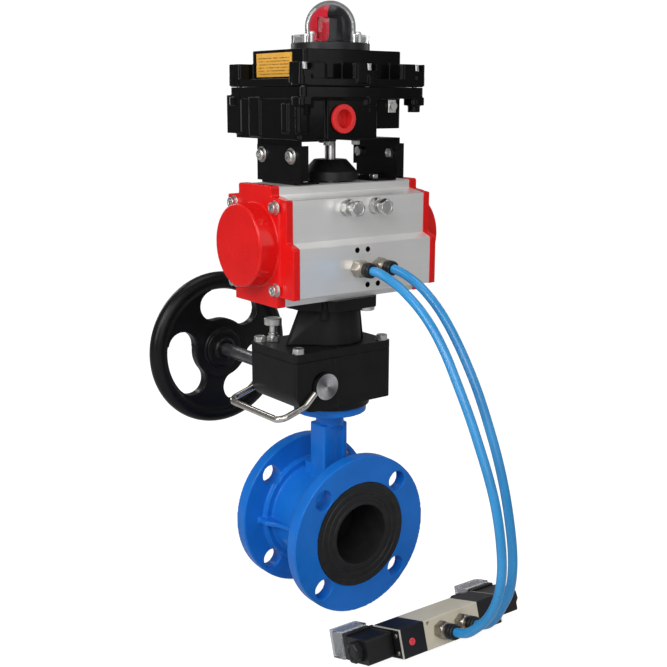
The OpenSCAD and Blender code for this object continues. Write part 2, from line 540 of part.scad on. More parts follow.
// ---- pistons ----
module rack_tooth(x) { polygon([[x - 1.66, 17], [x - 0.45, 13.55], [x + 0.45, 13.55], [x + 1.66, 17]]); }
module piston() difference() {
  union() {
    difference() { cx(cyl_r - 0.08, -50, -40, 0, cyl_z); for (x = [-48.2, -44]) difference() { cx(41, x, x + 2, 0, cyl_z); cx(37.6, x - 1, x + 3, 0, cyl_z); } }
    translate([0, 0, 265]) linear_extrude(30) union() {
      translate([-41, 16.9]) square([70, 10]);
      for (k = [0:7]) rack_tooth(-7.07 + 4.712 * k);
    }
  }
  cx(20, -51, -46, 0, cyl_z);
}
module left_piston() color("#9fa4a8") at_stem() piston();
module right_piston() color("#9fa4a8") at_stem() rotate([0, 0, 180]) piston();

// ---- declutch sleeve, bail, handwheel ----
module eccentric_sleeve() color("#c2c5c8") at_stem() difference() {
  union() {
    cy(12.2, -45.2, -32, sx, sz);
    cy(18, -32.8, -22, sx, sz);
    difference() { cy(18, -23, 23, sx, sz); cy(15.8, -24, 24, sx, sz);
      bx3(sx - 11, sx + 30, -30, 30, 120, 190); }
    cy(18, 22, 37, sx, sz);
    cy(12.2, 36, 45.2, sx, sz);
  }
  cy(6.66, -36.5, 50, wx, wz);
  cy(1.3, -46, -43, sx - 7.5, sz - 6);
}
bail_f = [[-46.6, 147.4], [-48.5, 146], [-60, 135.3], [-80, 128.2], [-87.1, 127]];
module lever_bail() color("#c0c2c4") at_stem() {
  $fn = 32;
  for (y = [-42.3, 42.3]) {
    for (i = [1:2]) rod([bail_f[i][0], y, bail_f[i][1]], [bail_f[i + 1][0], y, bail_f[i + 1][1]], bail_r);
    for (i = [2:3]) translate([bail_f[i][0], y, bail_f[i][1]]) sphere(bail_r);
  }
  for (s = [-1, 1]) {
    rod([-80, s * 42.3, 128.2], [-85.5, s * 39.8, 127.2], bail_r);
    translate([-85.5, s * 39.8, 127.2]) sphere(bail_r);
    rod([-85.5, s * 39.8, 127.2], [-87.1, s * 34, 127], bail_r);
    translate([-87.1, s * 34, 127]) sphere(bail_r);
  }
  cy(bail_r, -34, 34, -87.1, 127);
}
spoke_a = [16, 136, 256];
module handwheel() color("#141516") at_stem() translate([wx, 0, wz]) difference() {
  union() {
    translate([0, 141, 0]) rotate([-90, 0, 0]) rotate_extrude() translate([handwheel_r - rim_r, 0]) circle(rim_r);
    cy(31, 134, 145);
    difference() { cy(20, 129, 136); cy(17.6, 128, 130.5); }
    cy(17.2, 128.5, 147);
    cy(11, 126, 130);
    // each spoke flares into the hub disc and into the rim
    along_y(134.5, 146.5) for (a = spoke_a) rotate(a) polygon(concat(
      [[18, 8]], [for (t = [40:-8:0]) [37.5 - 15.5 * sin(t * 1.35), 27 - 15.5 * cos(t * 1.35)]],
      [for (t = [8:8:96]) [37.5 + 15.5 * sin(t * 1.35), 27 - 15.5 * cos(t * 1.35)]], [[66, 20], [66, -20]],
      [for (t = [96:-8:8]) [37.5 + 15.5 * sin(t * 1.35), -27 + 15.5 * cos(t * 1.35)]],
      [for (t = [0:8:40]) [37.5 - 15.5 * sin(t * 1.35), -27 + 15.5 * cos(t * 1.35)]], [[18, -8]]));
  }
  cy(6.62, 100, 140);
  cy(11, 144.5, 148);
}
module worm_shaft() color("#8f9599") at_stem() translate([wx, 0, wz]) {
  cy(6.6, -34, 139.5);
  cy(7.6, -18.5, 18.5);
  for (k = [-3:2]) translate([0, (k + 0.5) * 5.498, 0]) rotate([-90, 0, 0]) rotate_extrude()
    polygon([[7, -1.7], [8.35, -1.6], [11.7, -0.45], [11.7, 0.45], [8.35, 1.6], [7, 1.7]]);
}

valve_body();
seat_liner();
shaft_bushes();
valve_plugs();
gearbox_housing();
gearbox_cover();
gearbox_screws();
lock_pin_guide();
mounting_tower();
tower_bolts();
actuator_body();
left_end_cap();
right_end_cap();
end_cap_screws();
stop_bolts();
push_fittings();
fitting_collets();
lower_brackets();
upper_brackets();
bracket_screws();
switch_housing();
switch_cover();
switch_box_bolts();
conduit_plug();
earth_terminal();
info_label();
indicator_dome();
dome_ring();
microswitches();
terminal_strip();
solenoid_body();
pilot_blocks();
pilot_plates();
coils();
coil_nuts();
connector_bases();
connector_covers();
connector_glands();
tube_a();
tube_b();
disc();
valve_stem();
disc_pins();
worm_wheel();
drive_coupling();
pinion();
cone_coupler();
switch_shaft();
switch_cams();
indicator_rotor();
left_piston();
right_piston();
eccentric_sleeve();
lever_bail();
handwheel();
worm_shaft();
lock_pin();
left_override();
right_override();
spool();
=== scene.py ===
import bpy, bmesh, math, json
import numpy as np
from mathutils import Vector, Matrix

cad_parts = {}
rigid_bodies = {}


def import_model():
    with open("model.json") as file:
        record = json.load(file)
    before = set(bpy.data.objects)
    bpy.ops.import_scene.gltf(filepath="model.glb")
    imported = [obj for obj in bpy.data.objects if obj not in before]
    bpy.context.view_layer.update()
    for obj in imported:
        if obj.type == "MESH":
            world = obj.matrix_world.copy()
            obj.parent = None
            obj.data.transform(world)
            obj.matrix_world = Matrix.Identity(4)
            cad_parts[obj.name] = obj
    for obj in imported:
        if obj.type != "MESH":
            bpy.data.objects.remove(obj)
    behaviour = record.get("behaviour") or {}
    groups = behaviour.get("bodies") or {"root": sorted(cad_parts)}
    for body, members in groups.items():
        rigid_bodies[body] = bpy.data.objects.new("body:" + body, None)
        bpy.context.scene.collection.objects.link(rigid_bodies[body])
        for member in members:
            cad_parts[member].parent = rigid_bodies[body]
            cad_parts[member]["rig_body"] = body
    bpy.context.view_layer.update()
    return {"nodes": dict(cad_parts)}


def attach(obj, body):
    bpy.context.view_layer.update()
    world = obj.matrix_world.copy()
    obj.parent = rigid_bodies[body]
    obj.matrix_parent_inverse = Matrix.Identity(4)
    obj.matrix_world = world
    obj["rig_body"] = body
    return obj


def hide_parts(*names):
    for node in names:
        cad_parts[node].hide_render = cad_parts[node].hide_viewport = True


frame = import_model()
N = frame["nodes"]
SC = bpy.context.scene
SC.view_settings.view_transform = "Standard"
SC.view_settings.look = "None"

# ------------------------------------------------------------------ camera
# symmetric frame: millimetres, origin on the stem axis; the row frame is 50 mm further along +Y
def R3(p):
    return Vector((p[0] * 0.001, p[1] * 0.001 + 0.05, p[2] * 0.001))

cam = bpy.data.objects.new("camera", bpy.data.cameras.new("camera"))
SC.collection.objects.link(cam)
SC.camera = cam
az, pit, rol = math.radians(-37.14), math.radians(12.57), math.radians(0.12)
fwd = Vector((-math.sin(az) * math.cos(pit), math.cos(az) * math.cos(pit), -math.sin(pit)))
rgt = Vector((math.cos(az), math.sin(az), 0.0))
upv = rgt.cross(fwd)
r2 = rgt * math.cos(rol) + upv * math.sin(rol)
u2 = upv * math.cos(rol) - rgt * math.sin(rol)
cam.matrix_world = Matrix(((r2.x, u2.x, -fwd.x, -0.5846), (r2.y, u2.y, -fwd.y, -0.7275), (r2.z, u2.z, -fwd.z, 0.4044), (0, 0, 0, 1)))
cam.data.sensor_width = 36.0
cam.data.lens = 56.41
cam.data.clip_start = 0.02
cam.data.clip_end = 50

# ------------------------------------------------------------------ materials
def new_mat(name):
    m = bpy.data.materials.new(name)
    m.use_nodes = True
    nt = m.node_tree
    return m, nt, nt.nodes["Principled BSDF"]

def sset(b, key, val):
    if key in b.inputs:
        b.inputs[key].default_value = val

def coords(nt, scale=(1, 1, 1)):
    tc = nt.nodes.new("ShaderNodeTexCoord")
    mp = nt.nodes.new("ShaderNodeMapping")
    mp.inputs["Scale"].default_value = scale
    nt.links.new(tc.outputs["Object"], mp.inputs["Vector"])
    return mp.outputs["Vector"]

def noise(nt, scale, detail=3.0, rough=0.55, vec_scale=(1, 1, 1), kind="ShaderNodeTexNoise"):
    n = nt.nodes.new(kind)
    n.inputs["Scale"].default_value = scale
    if "Detail" in n.inputs:
        n.inputs["Detail"].default_value = detail
    if "Roughness" in n.inputs:
        n.inputs["Roughness"].default_value = rough
    nt.links.new(coords(nt, vec_scale), n.inputs["Vector"])
    return n

def ramp(nt, src, lo, hi, p0=0.3, p1=0.7):
    r = nt.nodes.new("ShaderNodeValToRGB")
    r.color_ramp.elements[0].position = p0
    r.color_ramp.elements[1].position = p1
    r.color_ramp.elements[0].color = (*lo, 1) if hasattr(lo, "__len__") else (lo, lo, lo, 1)
    r.color_ramp.elements[1].color = (*hi, 1) if hasattr(hi, "__len__") else (hi, hi, hi, 1)
    nt.links.new(src, r.inputs["Fac"])
    return r.outputs["Color"]

def mrange(nt, src, lo, hi):
    r = nt.nodes.new("ShaderNodeMapRange")
    r.inputs["To Min"].default_value = lo
    r.inputs["To Max"].default_value = hi
    nt.links.new(src, r.inputs["Value"])
    return r.outputs["Result"]

def add_bump(nt, b, layers):
    """layers: (height socket, distance in metres, strength)"""
    prev = None
    for src, dist, strength in layers:
        bp = nt.nodes.new("ShaderNodeBump")
        bp.inputs["Distance"].default_value = dist
        bp.inputs["Strength"].default_value = strength
        nt.links.new(src, bp.inputs["Height"])
        if prev is not None:
            nt.links.new(prev, bp.inputs["Normal"])
        prev = bp.outputs["Normal"]
    nt.links.new(prev, b.inputs["Normal"])

def finish_mat(name, col, col2=None, rough=(0.35, 0.45), metal=0.0, spec=0.5, coat=0.0, coat_rough=0.08,
               cscale=60, rscale=180, bumps=((900, 0.00002, 0.3),), vec=(1, 1, 1), aniso=0.0, ior=1.45):
    """A base material: broad colour drift, finer roughness drift, and one or more bump layers (noise scale, distance, strength)."""
    m, nt, b = new_mat(name)
    col2 = col2 or tuple(c * 0.8 for c in col)
    n1 = noise(nt, cscale, 4, 0.6, vec)
    nt.links.new(ramp(nt, n1.outputs["Fac"], col2, col, 0.32, 0.62), b.inputs["Base Color"])
    n2 = noise(nt, rscale, 3, 0.6, vec)
    nt.links.new(mrange(nt, n2.outputs["Fac"], rough[0], rough[1]), b.inputs["Roughness"])
    sset(b, "Metallic", metal)
    sset(b, "Specular IOR Level", spec)
    sset(b, "IOR", ior)
    sset(b, "Coat Weight", coat)
    sset(b, "Coat Roughness", coat_rough)
    sset(b, "Anisotropic", aniso)
    if bumps:
        add_bump(nt, b, [(noise(nt, s, 2, 0.5, vec).outputs["Fac"], d, k) for s, d, k in bumps])
    return m

MT = {}
MT["blue"] = finish_mat("blue_enamel", (0.010, 0.175, 0.66), (0.007, 0.142, 0.55), (0.26, 0.38), spec=0.2, coat=0.12, coat_rough=0.14,
                        cscale=22, rscale=90, bumps=((260, 0.00025, 0.22), (1500, 0.00003, 0.25)))
MT["rubber"] = finish_mat("moulded_rubber", (0.016, 0.016, 0.017), (0.009, 0.009, 0.010), (0.5, 0.66), spec=0.4, cscale=70,
                          bumps=((700, 0.00004, 0.3),))
MT["cast"] = finish_mat("black_coated_casting", (0.0105, 0.0108, 0.0112), (0.0075, 0.0076, 0.0080), (0.34, 0.46), spec=0.16, cscale=40, rscale=260,
                        bumps=((420, 0.00012, 0.22), (2200, 0.00004, 0.35)))
MT["wheel"] = finish_mat("black_wheel_enamel", (0.0065, 0.0065, 0.007), (0.0045, 0.0045, 0.005), (0.24, 0.34), spec=0.24, cscale=30, rscale=120,
                         bumps=((240, 0.00022, 0.2), (1400, 0.00003, 0.25)))
MT["box"] = finish_mat("black_gloss_casting", (0.0036, 0.0037, 0.0039), (0.0026, 0.0026, 0.0028), (0.12, 0.18), spec=0.1, coat=0.07, coat_rough=0.05, cscale=50, rscale=140,
                       bumps=((190, 0.00013, 0.16), (1600, 0.000015, 0.25)))
MT["sheet"] = finish_mat("black_powder_sheet", (0.0050, 0.0050, 0.0053), (0.0034, 0.0034, 0.0037), (0.18, 0.28), spec=0.16, cscale=80, rscale=400,
                         bumps=((900, 0.00006, 0.3),))
MT["red"] = finish_mat("red_powder_coat", (0.70, 0.0085, 0.008), (0.63, 0.007, 0.0065), (0.22, 0.3), spec=0.2, coat=0.22, coat_rough=0.08, cscale=35, rscale=150,
                       bumps=((320, 0.00016, 0.2), (1800, 0.00002, 0.25)))
MT["plug"] = finish_mat("red_plug_plastic", (0.72, 0.022, 0.022), (0.64, 0.016, 0.016), (0.32, 0.42), cscale=90, rscale=300, bumps=((1200, 0.00003, 0.3),))
MT["button"] = finish_mat("red_button_plastic", (0.78, 0.06, 0.09), (0.70, 0.04, 0.06), (0.3, 0.4), cscale=300, rscale=600, bumps=((2500, 0.00002, 0.3),))
MT["zinc"] = finish_mat("bright_zinc_steel", (0.72, 0.715, 0.70), (0.56, 0.555, 0.54), (0.28, 0.38), metal=1.0, cscale=180, rscale=420,
                        bumps=((1500, 0.000004, 0.15),))
MT["rod"] = finish_mat("nickel_plated_rod", (0.66, 0.63, 0.58), (0.52, 0.49, 0.44), (0.16, 0.22), metal=1.0, cscale=60, rscale=120,
                       bumps=((2600, 0.000003, 0.1),))
MT["dark"] = finish_mat("machined_dark_steel", (0.34, 0.35, 0.36), (0.22, 0.23, 0.24), (0.3, 0.45), metal=1.0, cscale=160, rscale=420,
                        bumps=((1100, 0.00003, 0.3),))
MT["nickel"] = finish_mat("nickel_plated_brass", (0.40, 0.365, 0.315), (0.29, 0.265, 0.225), (0.32, 0.42), metal=1.0, cscale=200, rscale=420,
                          bumps=((700, 0.00001, 0.2),))
MT["plastic"] = finish_mat("black_moulded_plastic", (0.011, 0.011, 0.012), (0.0075, 0.0075, 0.008), (0.34, 0.46), spec=0.42, cscale=90, rscale=500,
                           bumps=((1600, 0.00004, 0.35),))
MT["pilot"] = finish_mat("pilot_block_plastic", (0.0065, 0.0075, 0.0105), (0.005, 0.006, 0.0085), (0.36, 0.46), spec=0.42, cscale=90, rscale=500,
                         bumps=((2200, 0.00003, 0.35),))
MT["coil"] = finish_mat("coil_resin", (0.0085, 0.0085, 0.009), (0.006, 0.006, 0.0065), (0.28, 0.4), spec=0.45, cscale=120, rscale=500, bumps=((1800, 0.00003, 0.3),))
MT["ivory"] = finish_mat("ivory_anodised", (0.66, 0.61, 0.49), (0.60, 0.555, 0.44), (0.34, 0.44), metal=0.0, coat=0.15, coat_rough=0.25, cscale=60, rscale=260,
                         bumps=((1300, 0.00003, 0.3),))
MT["plate"] = finish_mat("pilot_plate_metal", (0.70, 0.67, 0.58), (0.58, 0.55, 0.47), (0.3, 0.42), metal=0.35, cscale=200, rscale=400, bumps=((1500, 0.00002, 0.3),))
MT["bronze"] = finish_mat("cast_bronze", (0.55, 0.36, 0.13), (0.42, 0.26, 0.09), (0.3, 0.45), metal=1.0, cscale=120, rscale=300, bumps=((900, 0.00004, 0.3),))
MT["acetal"] = finish_mat("acetal_plastic", (0.72, 0.69, 0.58), (0.66, 0.62, 0.5), (0.4, 0.5), cscale=100, rscale=300, bumps=((1200, 0.00002, 0.3),))
MT["terminal"] = finish_mat("terminal_plastic", (0.62, 0.64, 0.56), (0.55, 0.57, 0.5), (0.4, 0.5), cscale=100, rscale=300, bumps=((1200, 0.00002, 0.3),))
MT["alu"] = finish_mat("die_cast_aluminium", (0.52, 0.53, 0.54), (0.40, 0.41, 0.42), (0.35, 0.5), metal=1.0, cscale=90, rscale=300, bumps=((700, 0.00005, 0.3),))
MT["disc"] = finish_mat("nylon_coated_disc", (0.012, 0.012, 0.013), (0.008, 0.008, 0.009), (0.35, 0.5), cscale=60, rscale=300, bumps=((900, 0.00005, 0.3),))

# brushed, anodised extrusion: fine lines along X
def brushed():
    m, nt, b = new_mat("brushed_anodised_extrusion")
    n1 = noise(nt, 1.0, 3, 0.6, (9, 2600, 2600))
    n2 = noise(nt, 1.0, 2, 0.5, (14, 22, 22))
    mx = nt.nodes.new("ShaderNodeMixRGB")
    mx.blend_type = "MULTIPLY"
    mx.inputs["Fac"].default_value = 1.0
    nt.links.new(ramp(nt, n1.outputs["Fac"], (0.86, 0.857, 0.845), (0.91, 0.907, 0.895), 0.3, 0.7), mx.inputs["Color1"])
    nt.links.new(ramp(nt, n2.outputs["Fac"], (0.93, 0.93, 0.93), (1, 1, 1), 0.3, 0.7), mx.inputs["Color2"])
    # painted shade: the walls of the four tapped holes are coloured near-black, standing for the shade inside the holes
    tc = nt.nodes.new("ShaderNodeTexCoord")
    hole_shade_mask = None
    for hx, hz in ((-0.012, 0.2748), (0, 0.2748), (0, 0.2428), (0.012, 0.2428)):
        mu = nt.nodes.new("ShaderNodeVectorMath")
        mu.operation = "MULTIPLY_ADD"
        nt.links.new(tc.outputs["Object"], mu.inputs[0])
        mu.inputs[1].default_value = (1, 0, 1)
        mu.inputs[2].default_value = (-hx, 0, -hz)
        ln = nt.nodes.new("ShaderNodeVectorMath")
        ln.operation = "LENGTH"
        nt.links.new(mu.outputs["Vector"], ln.inputs[0])
        lt = nt.nodes.new("ShaderNodeMath")
        lt.operation = "LESS_THAN"
        nt.links.new(ln.outputs["Value"], lt.inputs[0])
        lt.inputs[1].default_value = 0.00256
        if hole_shade_mask is None:
            hole_shade_mask = lt.outputs[0]
        else:
            ad = nt.nodes.new("ShaderNodeMath")
            ad.operation = "ADD"
            ad.use_clamp = True
            nt.links.new(hole_shade_mask, ad.inputs[0])
            nt.links.new(lt.outputs[0], ad.inputs[1])
            hole_shade_mask = ad.outputs[0]
    hole_shade_mix = nt.nodes.new("ShaderNodeMixRGB")
    nt.links.new(hole_shade_mask, hole_shade_mix.inputs["Fac"])
    nt.links.new(mx.outputs["Color"], hole_shade_mix.inputs["Color1"])
    hole_shade_mix.inputs["Color2"].default_value = (0.012, 0.012, 0.012, 1)
    nt.links.new(hole_shade_mix.outputs["Color"], b.inputs["Base Color"])
    nt.links.new(mrange(nt, n1.outputs["Fac"], 0.26, 0.36), b.inputs["Roughness"])
    sset(b, "Metallic", 0.6)
    add_bump(nt, b, [(n1.outputs["Fac"], 0.00002, 0.35), (noise(nt, 1600, 2).outputs["Fac"], 0.000015, 0.3)])
    return m
MT["body"] = brushed()

# turned steel disc: rings about an axis along Y through (cx, cz) in the row frame
def turned(name, cx, cz, col=(0.70, 0.71, 0.73)):
    m, nt, b = new_mat(name)
    tc = nt.nodes.new("ShaderNodeTexCoord")
    mp = nt.nodes.new("ShaderNodeMapping")
    mp.inputs["Location"].default_value = (-cx, 0, -cz)
    nt.links.new(tc.outputs["Object"], mp.inputs["Vector"])
    sep = nt.nodes.new("ShaderNodeSeparateXYZ")
    nt.links.new(mp.outputs["Vector"], sep.inputs["Vector"])
    com = nt.nodes.new("ShaderNodeCombineXYZ")
    nt.links.new(sep.outputs["X"], com.inputs["X"])
    nt.links.new(sep.outputs["Z"], com.inputs["Y"])
    ln = nt.nodes.new("ShaderNodeVectorMath")
    ln.operation = "LENGTH"
    nt.links.new(com.outputs["Vector"], ln.inputs[0])
    w = nt.nodes.new("ShaderNodeTexNoise")
    w.noise_dimensions = "1D"
    w.inputs["Scale"].default_value = 2600
    w.inputs["Detail"].default_value = 2
    nt.links.new(ln.outputs["Value"], w.inputs["W"])
    n2 = noise(nt, 160, 4, 0.6)
    def math_(op, a, c=None):
        n = nt.nodes.new("ShaderNodeMath")
        n.operation = op
        for i, v in enumerate((a, c)):
            if v is None:
                continue
            if isinstance(v, (int, float)):
                n.inputs[i].default_value = v
            else:
                nt.links.new(v, n.inputs[i])
        return n.outputs[0]
    # painted highlight: light and dark sectors by angle, multiplied into the base colour, standing for the reflection a
    # faced disc shows
    ang = math_("ARCTAN2", sep.outputs["Z"], sep.outputs["X"])
    f = math_("ADD", math_("MULTIPLY", math_("SINE", math_("MULTIPLY", ang, 2.0)), 0.42), 0.68)
    painted_highlight_sectors = nt.nodes.new("ShaderNodeCombineXYZ")
    for k in "XYZ":
        nt.links.new(f, painted_highlight_sectors.inputs[k])
    mx = nt.nodes.new("ShaderNodeMixRGB")
    mx.blend_type = "MULTIPLY"
    mx.inputs["Fac"].default_value = 1.0
    nt.links.new(ramp(nt, n2.outputs["Fac"], tuple(c * 0.85 for c in col), col, 0.35, 0.62), mx.inputs["Color1"])
    nt.links.new(painted_highlight_sectors.outputs["Vector"], mx.inputs["Color2"])
    nt.links.new(mx.outputs["Color"], b.inputs["Base Color"])
    nt.links.new(mrange(nt, w.outputs["Fac"], 0.16, 0.36), b.inputs["Roughness"])
    sset(b, "Metallic", 1.0)
    sset(b, "Anisotropic", 0.85)
    ng = nt.nodes.new("ShaderNodeMath")
    ng.operation = "MULTIPLY"
    nt.links.new(sep.outputs["X"], ng.inputs[0])
    ng.inputs[1].default_value = -1.0
    tg = nt.nodes.new("ShaderNodeCombineXYZ")
    nt.links.new(sep.outputs["Z"], tg.inputs["X"])
    nt.links.new(ng.outputs[0], tg.inputs["Z"])
    tn = nt.nodes.new("ShaderNodeVectorMath")
    tn.operation = "NORMALIZE"
    nt.links.new(tg.outputs["Vector"], tn.inputs[0])
    nt.links.new(tn.outputs["Vector"], b.inputs["Tangent"])
    add_bump(nt, b, [(w.outputs["Fac"], 0.00001, 0.3)])
    return m
MT["turned"] = turned("turned_steel_disc", -0.0368, 0.1508)

def tube_mat():
    m, nt, b = new_mat("polyurethane_tube_blue")
    n1 = noise(nt, 25, 2)
    nt.links.new(ramp(nt, n1.outputs["Fac"], (0.018, 0.235, 0.53), (0.026, 0.285, 0.62), 0.3, 0.7), b.inputs["Base Color"])
    nt.links.new(mrange(nt, noise(nt, 300, 3).outputs["Fac"], 0.24, 0.34), b.inputs["Roughness"])
    sset(b, "Subsurface Weight", 0.25)
    sset(b, "Subsurface Scale", 0.003)
    sset(b, "Subsurface Radius", (0.3, 0.7, 1.0))
    sset(b, "Coat Weight", 0.25)
    sset(b, "Coat Roughness", 0.14)
    add_bump(nt, b, [(noise(nt, 500, 2).outputs["Fac"], 0.00003, 0.3)])
    return m
MT["tube"] = tube_mat()

def clear(name, col, rough, trans=1.0, ior=1.49):
    m, nt, b = new_mat(name)
    b.inputs["Base Color"].default_value = (*col, 1)
    sset(b, "Transmission Weight", trans)
    sset(b, "IOR", ior)
    nt.links.new(mrange(nt, noise(nt, 400, 3).outputs["Fac"], rough, rough + 0.06), b.inputs["Roughness"])
    add_bump(nt, b, [(noise(nt, 160, 2).outputs["Fac"], 0.00003, 0.25)])
    return m
MT["clear"] = clear("clear_polycarbonate", (0.93, 0.95, 0.96), 0.01, 1.0, 1.22)
MT["smoke"] = clear("smoked_clear_cover", (0.45, 0.46, 0.47), 0.12, 0.88, 1.25)

def label_mat():
    # orange film with generic dark lines of print, in the label's own plane (Y across, Z up)
    m, nt, b = new_mat("printed_label_film")
    tc = nt.nodes.new("ShaderNodeTexCoord")
    sep = nt.nodes.new("ShaderNodeSeparateXYZ")
    nt.links.new(tc.outputs["Object"], sep.inputs["Vector"])
    def math_(op, a, c=None, d=None):
        n = nt.nodes.new("ShaderNodeMath")
        n.operation = op
        for i, v in enumerate((a, c, d)):
            if v is None:
                continue
            if isinstance(v, (int, float)):
                n.inputs[i].default_value = v
            else:
                nt.links.new(v, n.inputs[i])
        return n.outputs[0]
    z = sep.outputs["Z"]; y = sep.outputs["Y"]
    row = math_("MULTIPLY", math_("SUBTRACT", z, 0.4256), 1 / 0.0027)      # text rows
    fr = math_("FRACT", row)
    idx = math_("FLOOR", row)
    line = math_("LESS_THAN", math_("ABSOLUTE", math_("SUBTRACT", fr, 0.5)), 0.17)
    nz = nt.nodes.new("ShaderNodeTexNoise")
    nz.inputs["Scale"].default_value = 1.0
    nz.inputs["Detail"].default_value = 1
    cb = nt.nodes.new("ShaderNodeCombineXYZ")
    nt.links.new(math_("MULTIPLY", y, 900), cb.inputs["X"])
    nt.links.new(math_("MULTIPLY", idx, 7.3), cb.inputs["Y"])
    nt.links.new(cb.outputs["Vector"], nz.inputs["Vector"])
    word = math_("GREATER_THAN", nz.outputs["Fac"], 0.44)
    inside = math_("MULTIPLY", math_("GREATER_THAN", y, 0.0335), math_("LESS_THAN", y, 0.0815))
    band = math_("MULTIPLY", math_("GREATER_THAN", row, 0.0), math_("LESS_THAN", row, 6.0))
    ink = math_("MULTIPLY", math_("MULTIPLY", line, word), math_("MULTIPLY", inside, band))
    mx = nt.nodes.new("ShaderNodeMixRGB")
    nt.links.new(math_("MULTIPLY", ink, 0.72), mx.inputs["Fac"])
    n1 = noise(nt, 120, 2)
    nt.links.new(ramp(nt, n1.outputs["Fac"], (0.72, 0.36, 0.045), (0.80, 0.42, 0.06), 0.3, 0.7), mx.inputs["Color1"])
    mx.inputs["Color2"].default_value = (0.06, 0.035, 0.012, 1)
    nt.links.new(mx.outputs["Color"], b.inputs["Base Color"])
    nt.links.new(mrange(nt, noise(nt, 700, 2).outputs["Fac"], 0.35, 0.45), b.inputs["Roughness"])
    add_bump(nt, b, [(noise(nt, 900, 2).outputs["Fac"], 0.00001, 0.3)])
    return m
MT["label"] = label_mat()

def indicator_mat():
    # red rotor with black quarters, split by angle about the stem axis
    m, nt, b = new_mat("indicator_two_colour")
    tc = nt.nodes.new("ShaderNodeTexCoord")
    mp = nt.nodes.new("ShaderNodeMapping")
    mp.inputs["Location"].default_value = (0, -0.05, 0)
    nt.links.new(tc.outputs["Object"], mp.inputs["Vector"])
    sep = nt.nodes.new("ShaderNodeSeparateXYZ")
    nt.links.new(mp.outputs["Vector"], sep.inputs["Vector"])
    def math_(op, a, c=None):
        n = nt.nodes.new("ShaderNodeMath")
        n.operation = op
        for i, v in enumerate((a, c)):
            if v is None:
                continue
            if isinstance(v, (int, float)):
                n.inputs[i].default_value = v
            else:
                nt.links.new(v, n.inputs[i])
        return n.outputs[0]
    ang = math_("ARCTAN2", sep.outputs["Y"], sep.outputs["X"])
    s = math_("SINE", math_("ADD", math_("MULTIPLY", ang, 2.0), IND_PHASE))
    f = math_("GREATER_THAN", s, 0.0)
    mx = nt.nodes.new("ShaderNodeMixRGB")
    nt.links.new(f, mx.inputs["Fac"])
    mx.inputs["Color1"].default_value = (0.008, 0.008, 0.009, 1)
    mx.inputs["Color2"].default_value = (0.62, 0.012, 0.03, 1)
    nt.links.new(mx.outputs["Color"], b.inputs["Base Color"])
    nt.links.new(mrange(nt, noise(nt, 500, 2).outputs["Fac"], 0.5, 0.6), b.inputs["Roughness"])
    sset(b, "Specular IOR Level", 0.12)
    add_bump(nt, b, [(noise(nt, 1200, 2).outputs["Fac"], 0.00002, 0.3)])
    return m
IND_PHASE = math.radians(90)
MT["indicator"] = indicator_mat()

BODY = {n: o["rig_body"] for n, o in N.items()}

# ------------------------------------------------------------------ CAD nodes that stay: material and softened edges
def keep(node, mat, width=0.35, seg=2, angle=32, weld=True):
    o = N[node]
    if not o.material_slots:
        o.data.materials.append(MT[mat])
    for s in o.material_slots:
        s.material = MT[mat]
    if width:
        if weld:
            w = o.modifiers.new("weld", "WELD")
            w.merge_threshold = 0.000004
        d = o.modifiers.new("flat", "DECIMATE")
        d.decimate_type = "DISSOLVE"
        d.angle_limit = math.radians(0.6)
        bv = o.modifiers.new("edges", "BEVEL")
        bv.width = width * 0.001
        bv.segments = seg
        bv.limit_method = "ANGLE"
        bv.angle_limit = math.radians(angle)
        bv.use_clamp_overlap = True
        bv.harden_normals = False
        bv.miter_outer = "MITER_ARC" if seg > 1 else "MITER_SHARP"
        wn = o.modifiers.new("normals", "WEIGHTED_NORMAL")
        wn.keep_sharp = True
        wn.weight = 60
    for p in o.data.polygons:
        p.use_smooth = True
    return o

# ------------------------------------------------------------------ air tubes (route points repeat the part's own, in millimetres)
ROUTE_A = [(-12,-78,258.8),(-12,-90,257.5),(-11.5,-112,250),(-11,-136,236.5),(-10,-154,221),(-9.5,-170,202),
  (-9,-183.5,181),(-8.5,-198,157),(-8,-210,134),(-7.5,-222,109),(-7,-230.5,86),(-6.5,-236,62),(-6,-238.5,38),
  (-6,-237,18),(-5.5,-232,2),(-5,-223,-14),(-5,-211,-27.5),(-4.8,-199.5,-37),(-4.8,-187.6,-41.4)]
ROUTE_B = [(12,-78,258.8),(12,-92,256),(12.5,-108,250),(13,-122,242),(14,-138,229),(15,-154,211),(15.5,-170,189.5),
  (16,-184,167),(16.5,-196,143),(17,-207,118),(17.5,-216,92),(18,-222.5,66),(18.5,-226.5,42),(18.5,-227.5,22),
  (19,-224.5,4),(19,-217.5,-12),(19.3,-209.5,-26),(19.2,-200,-36),(19.2,-188.4,-41.4)]

def crom(p, sub):
    p = [Vector(q) for q in p]
    out = []
    for i in range(len(p) - 1):
        a, b, c, d = p[max(i - 1, 0)], p[i], p[i + 1], p[min(i + 2, len(p) - 1)]
        for j in range(sub):
            t = j / sub
            out.append(0.5 * ((2 * b) + (c - a) * t + (2 * a - 5 * b + 4 * c - d) * t * t + (3 * b - a - 3 * c + d) * t * t * t))
    out.append(p[-1])
    return out

def curve_piece(name, pts, r, mat, body, res=8, cyclic=False):
    cu = bpy.data.curves.new(name, "CURVE")
    cu.dimensions = "3D"
    sp = cu.splines.new("POLY")
    sp.points.add(len(pts) - 1)
    for q, p in zip(sp.points, pts):
        q.co = (*p, 1)
    sp.use_cyclic_u = cyclic
    sp.use_smooth = True
    cu.bevel_depth = r
    cu.bevel_resolution = res
    cu.use_fill_caps = True
    o = bpy.data.objects.new(name, cu)
    SC.collection.objects.link(o)
    cu.materials.append(MT[mat])
    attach(o, body)
    return o

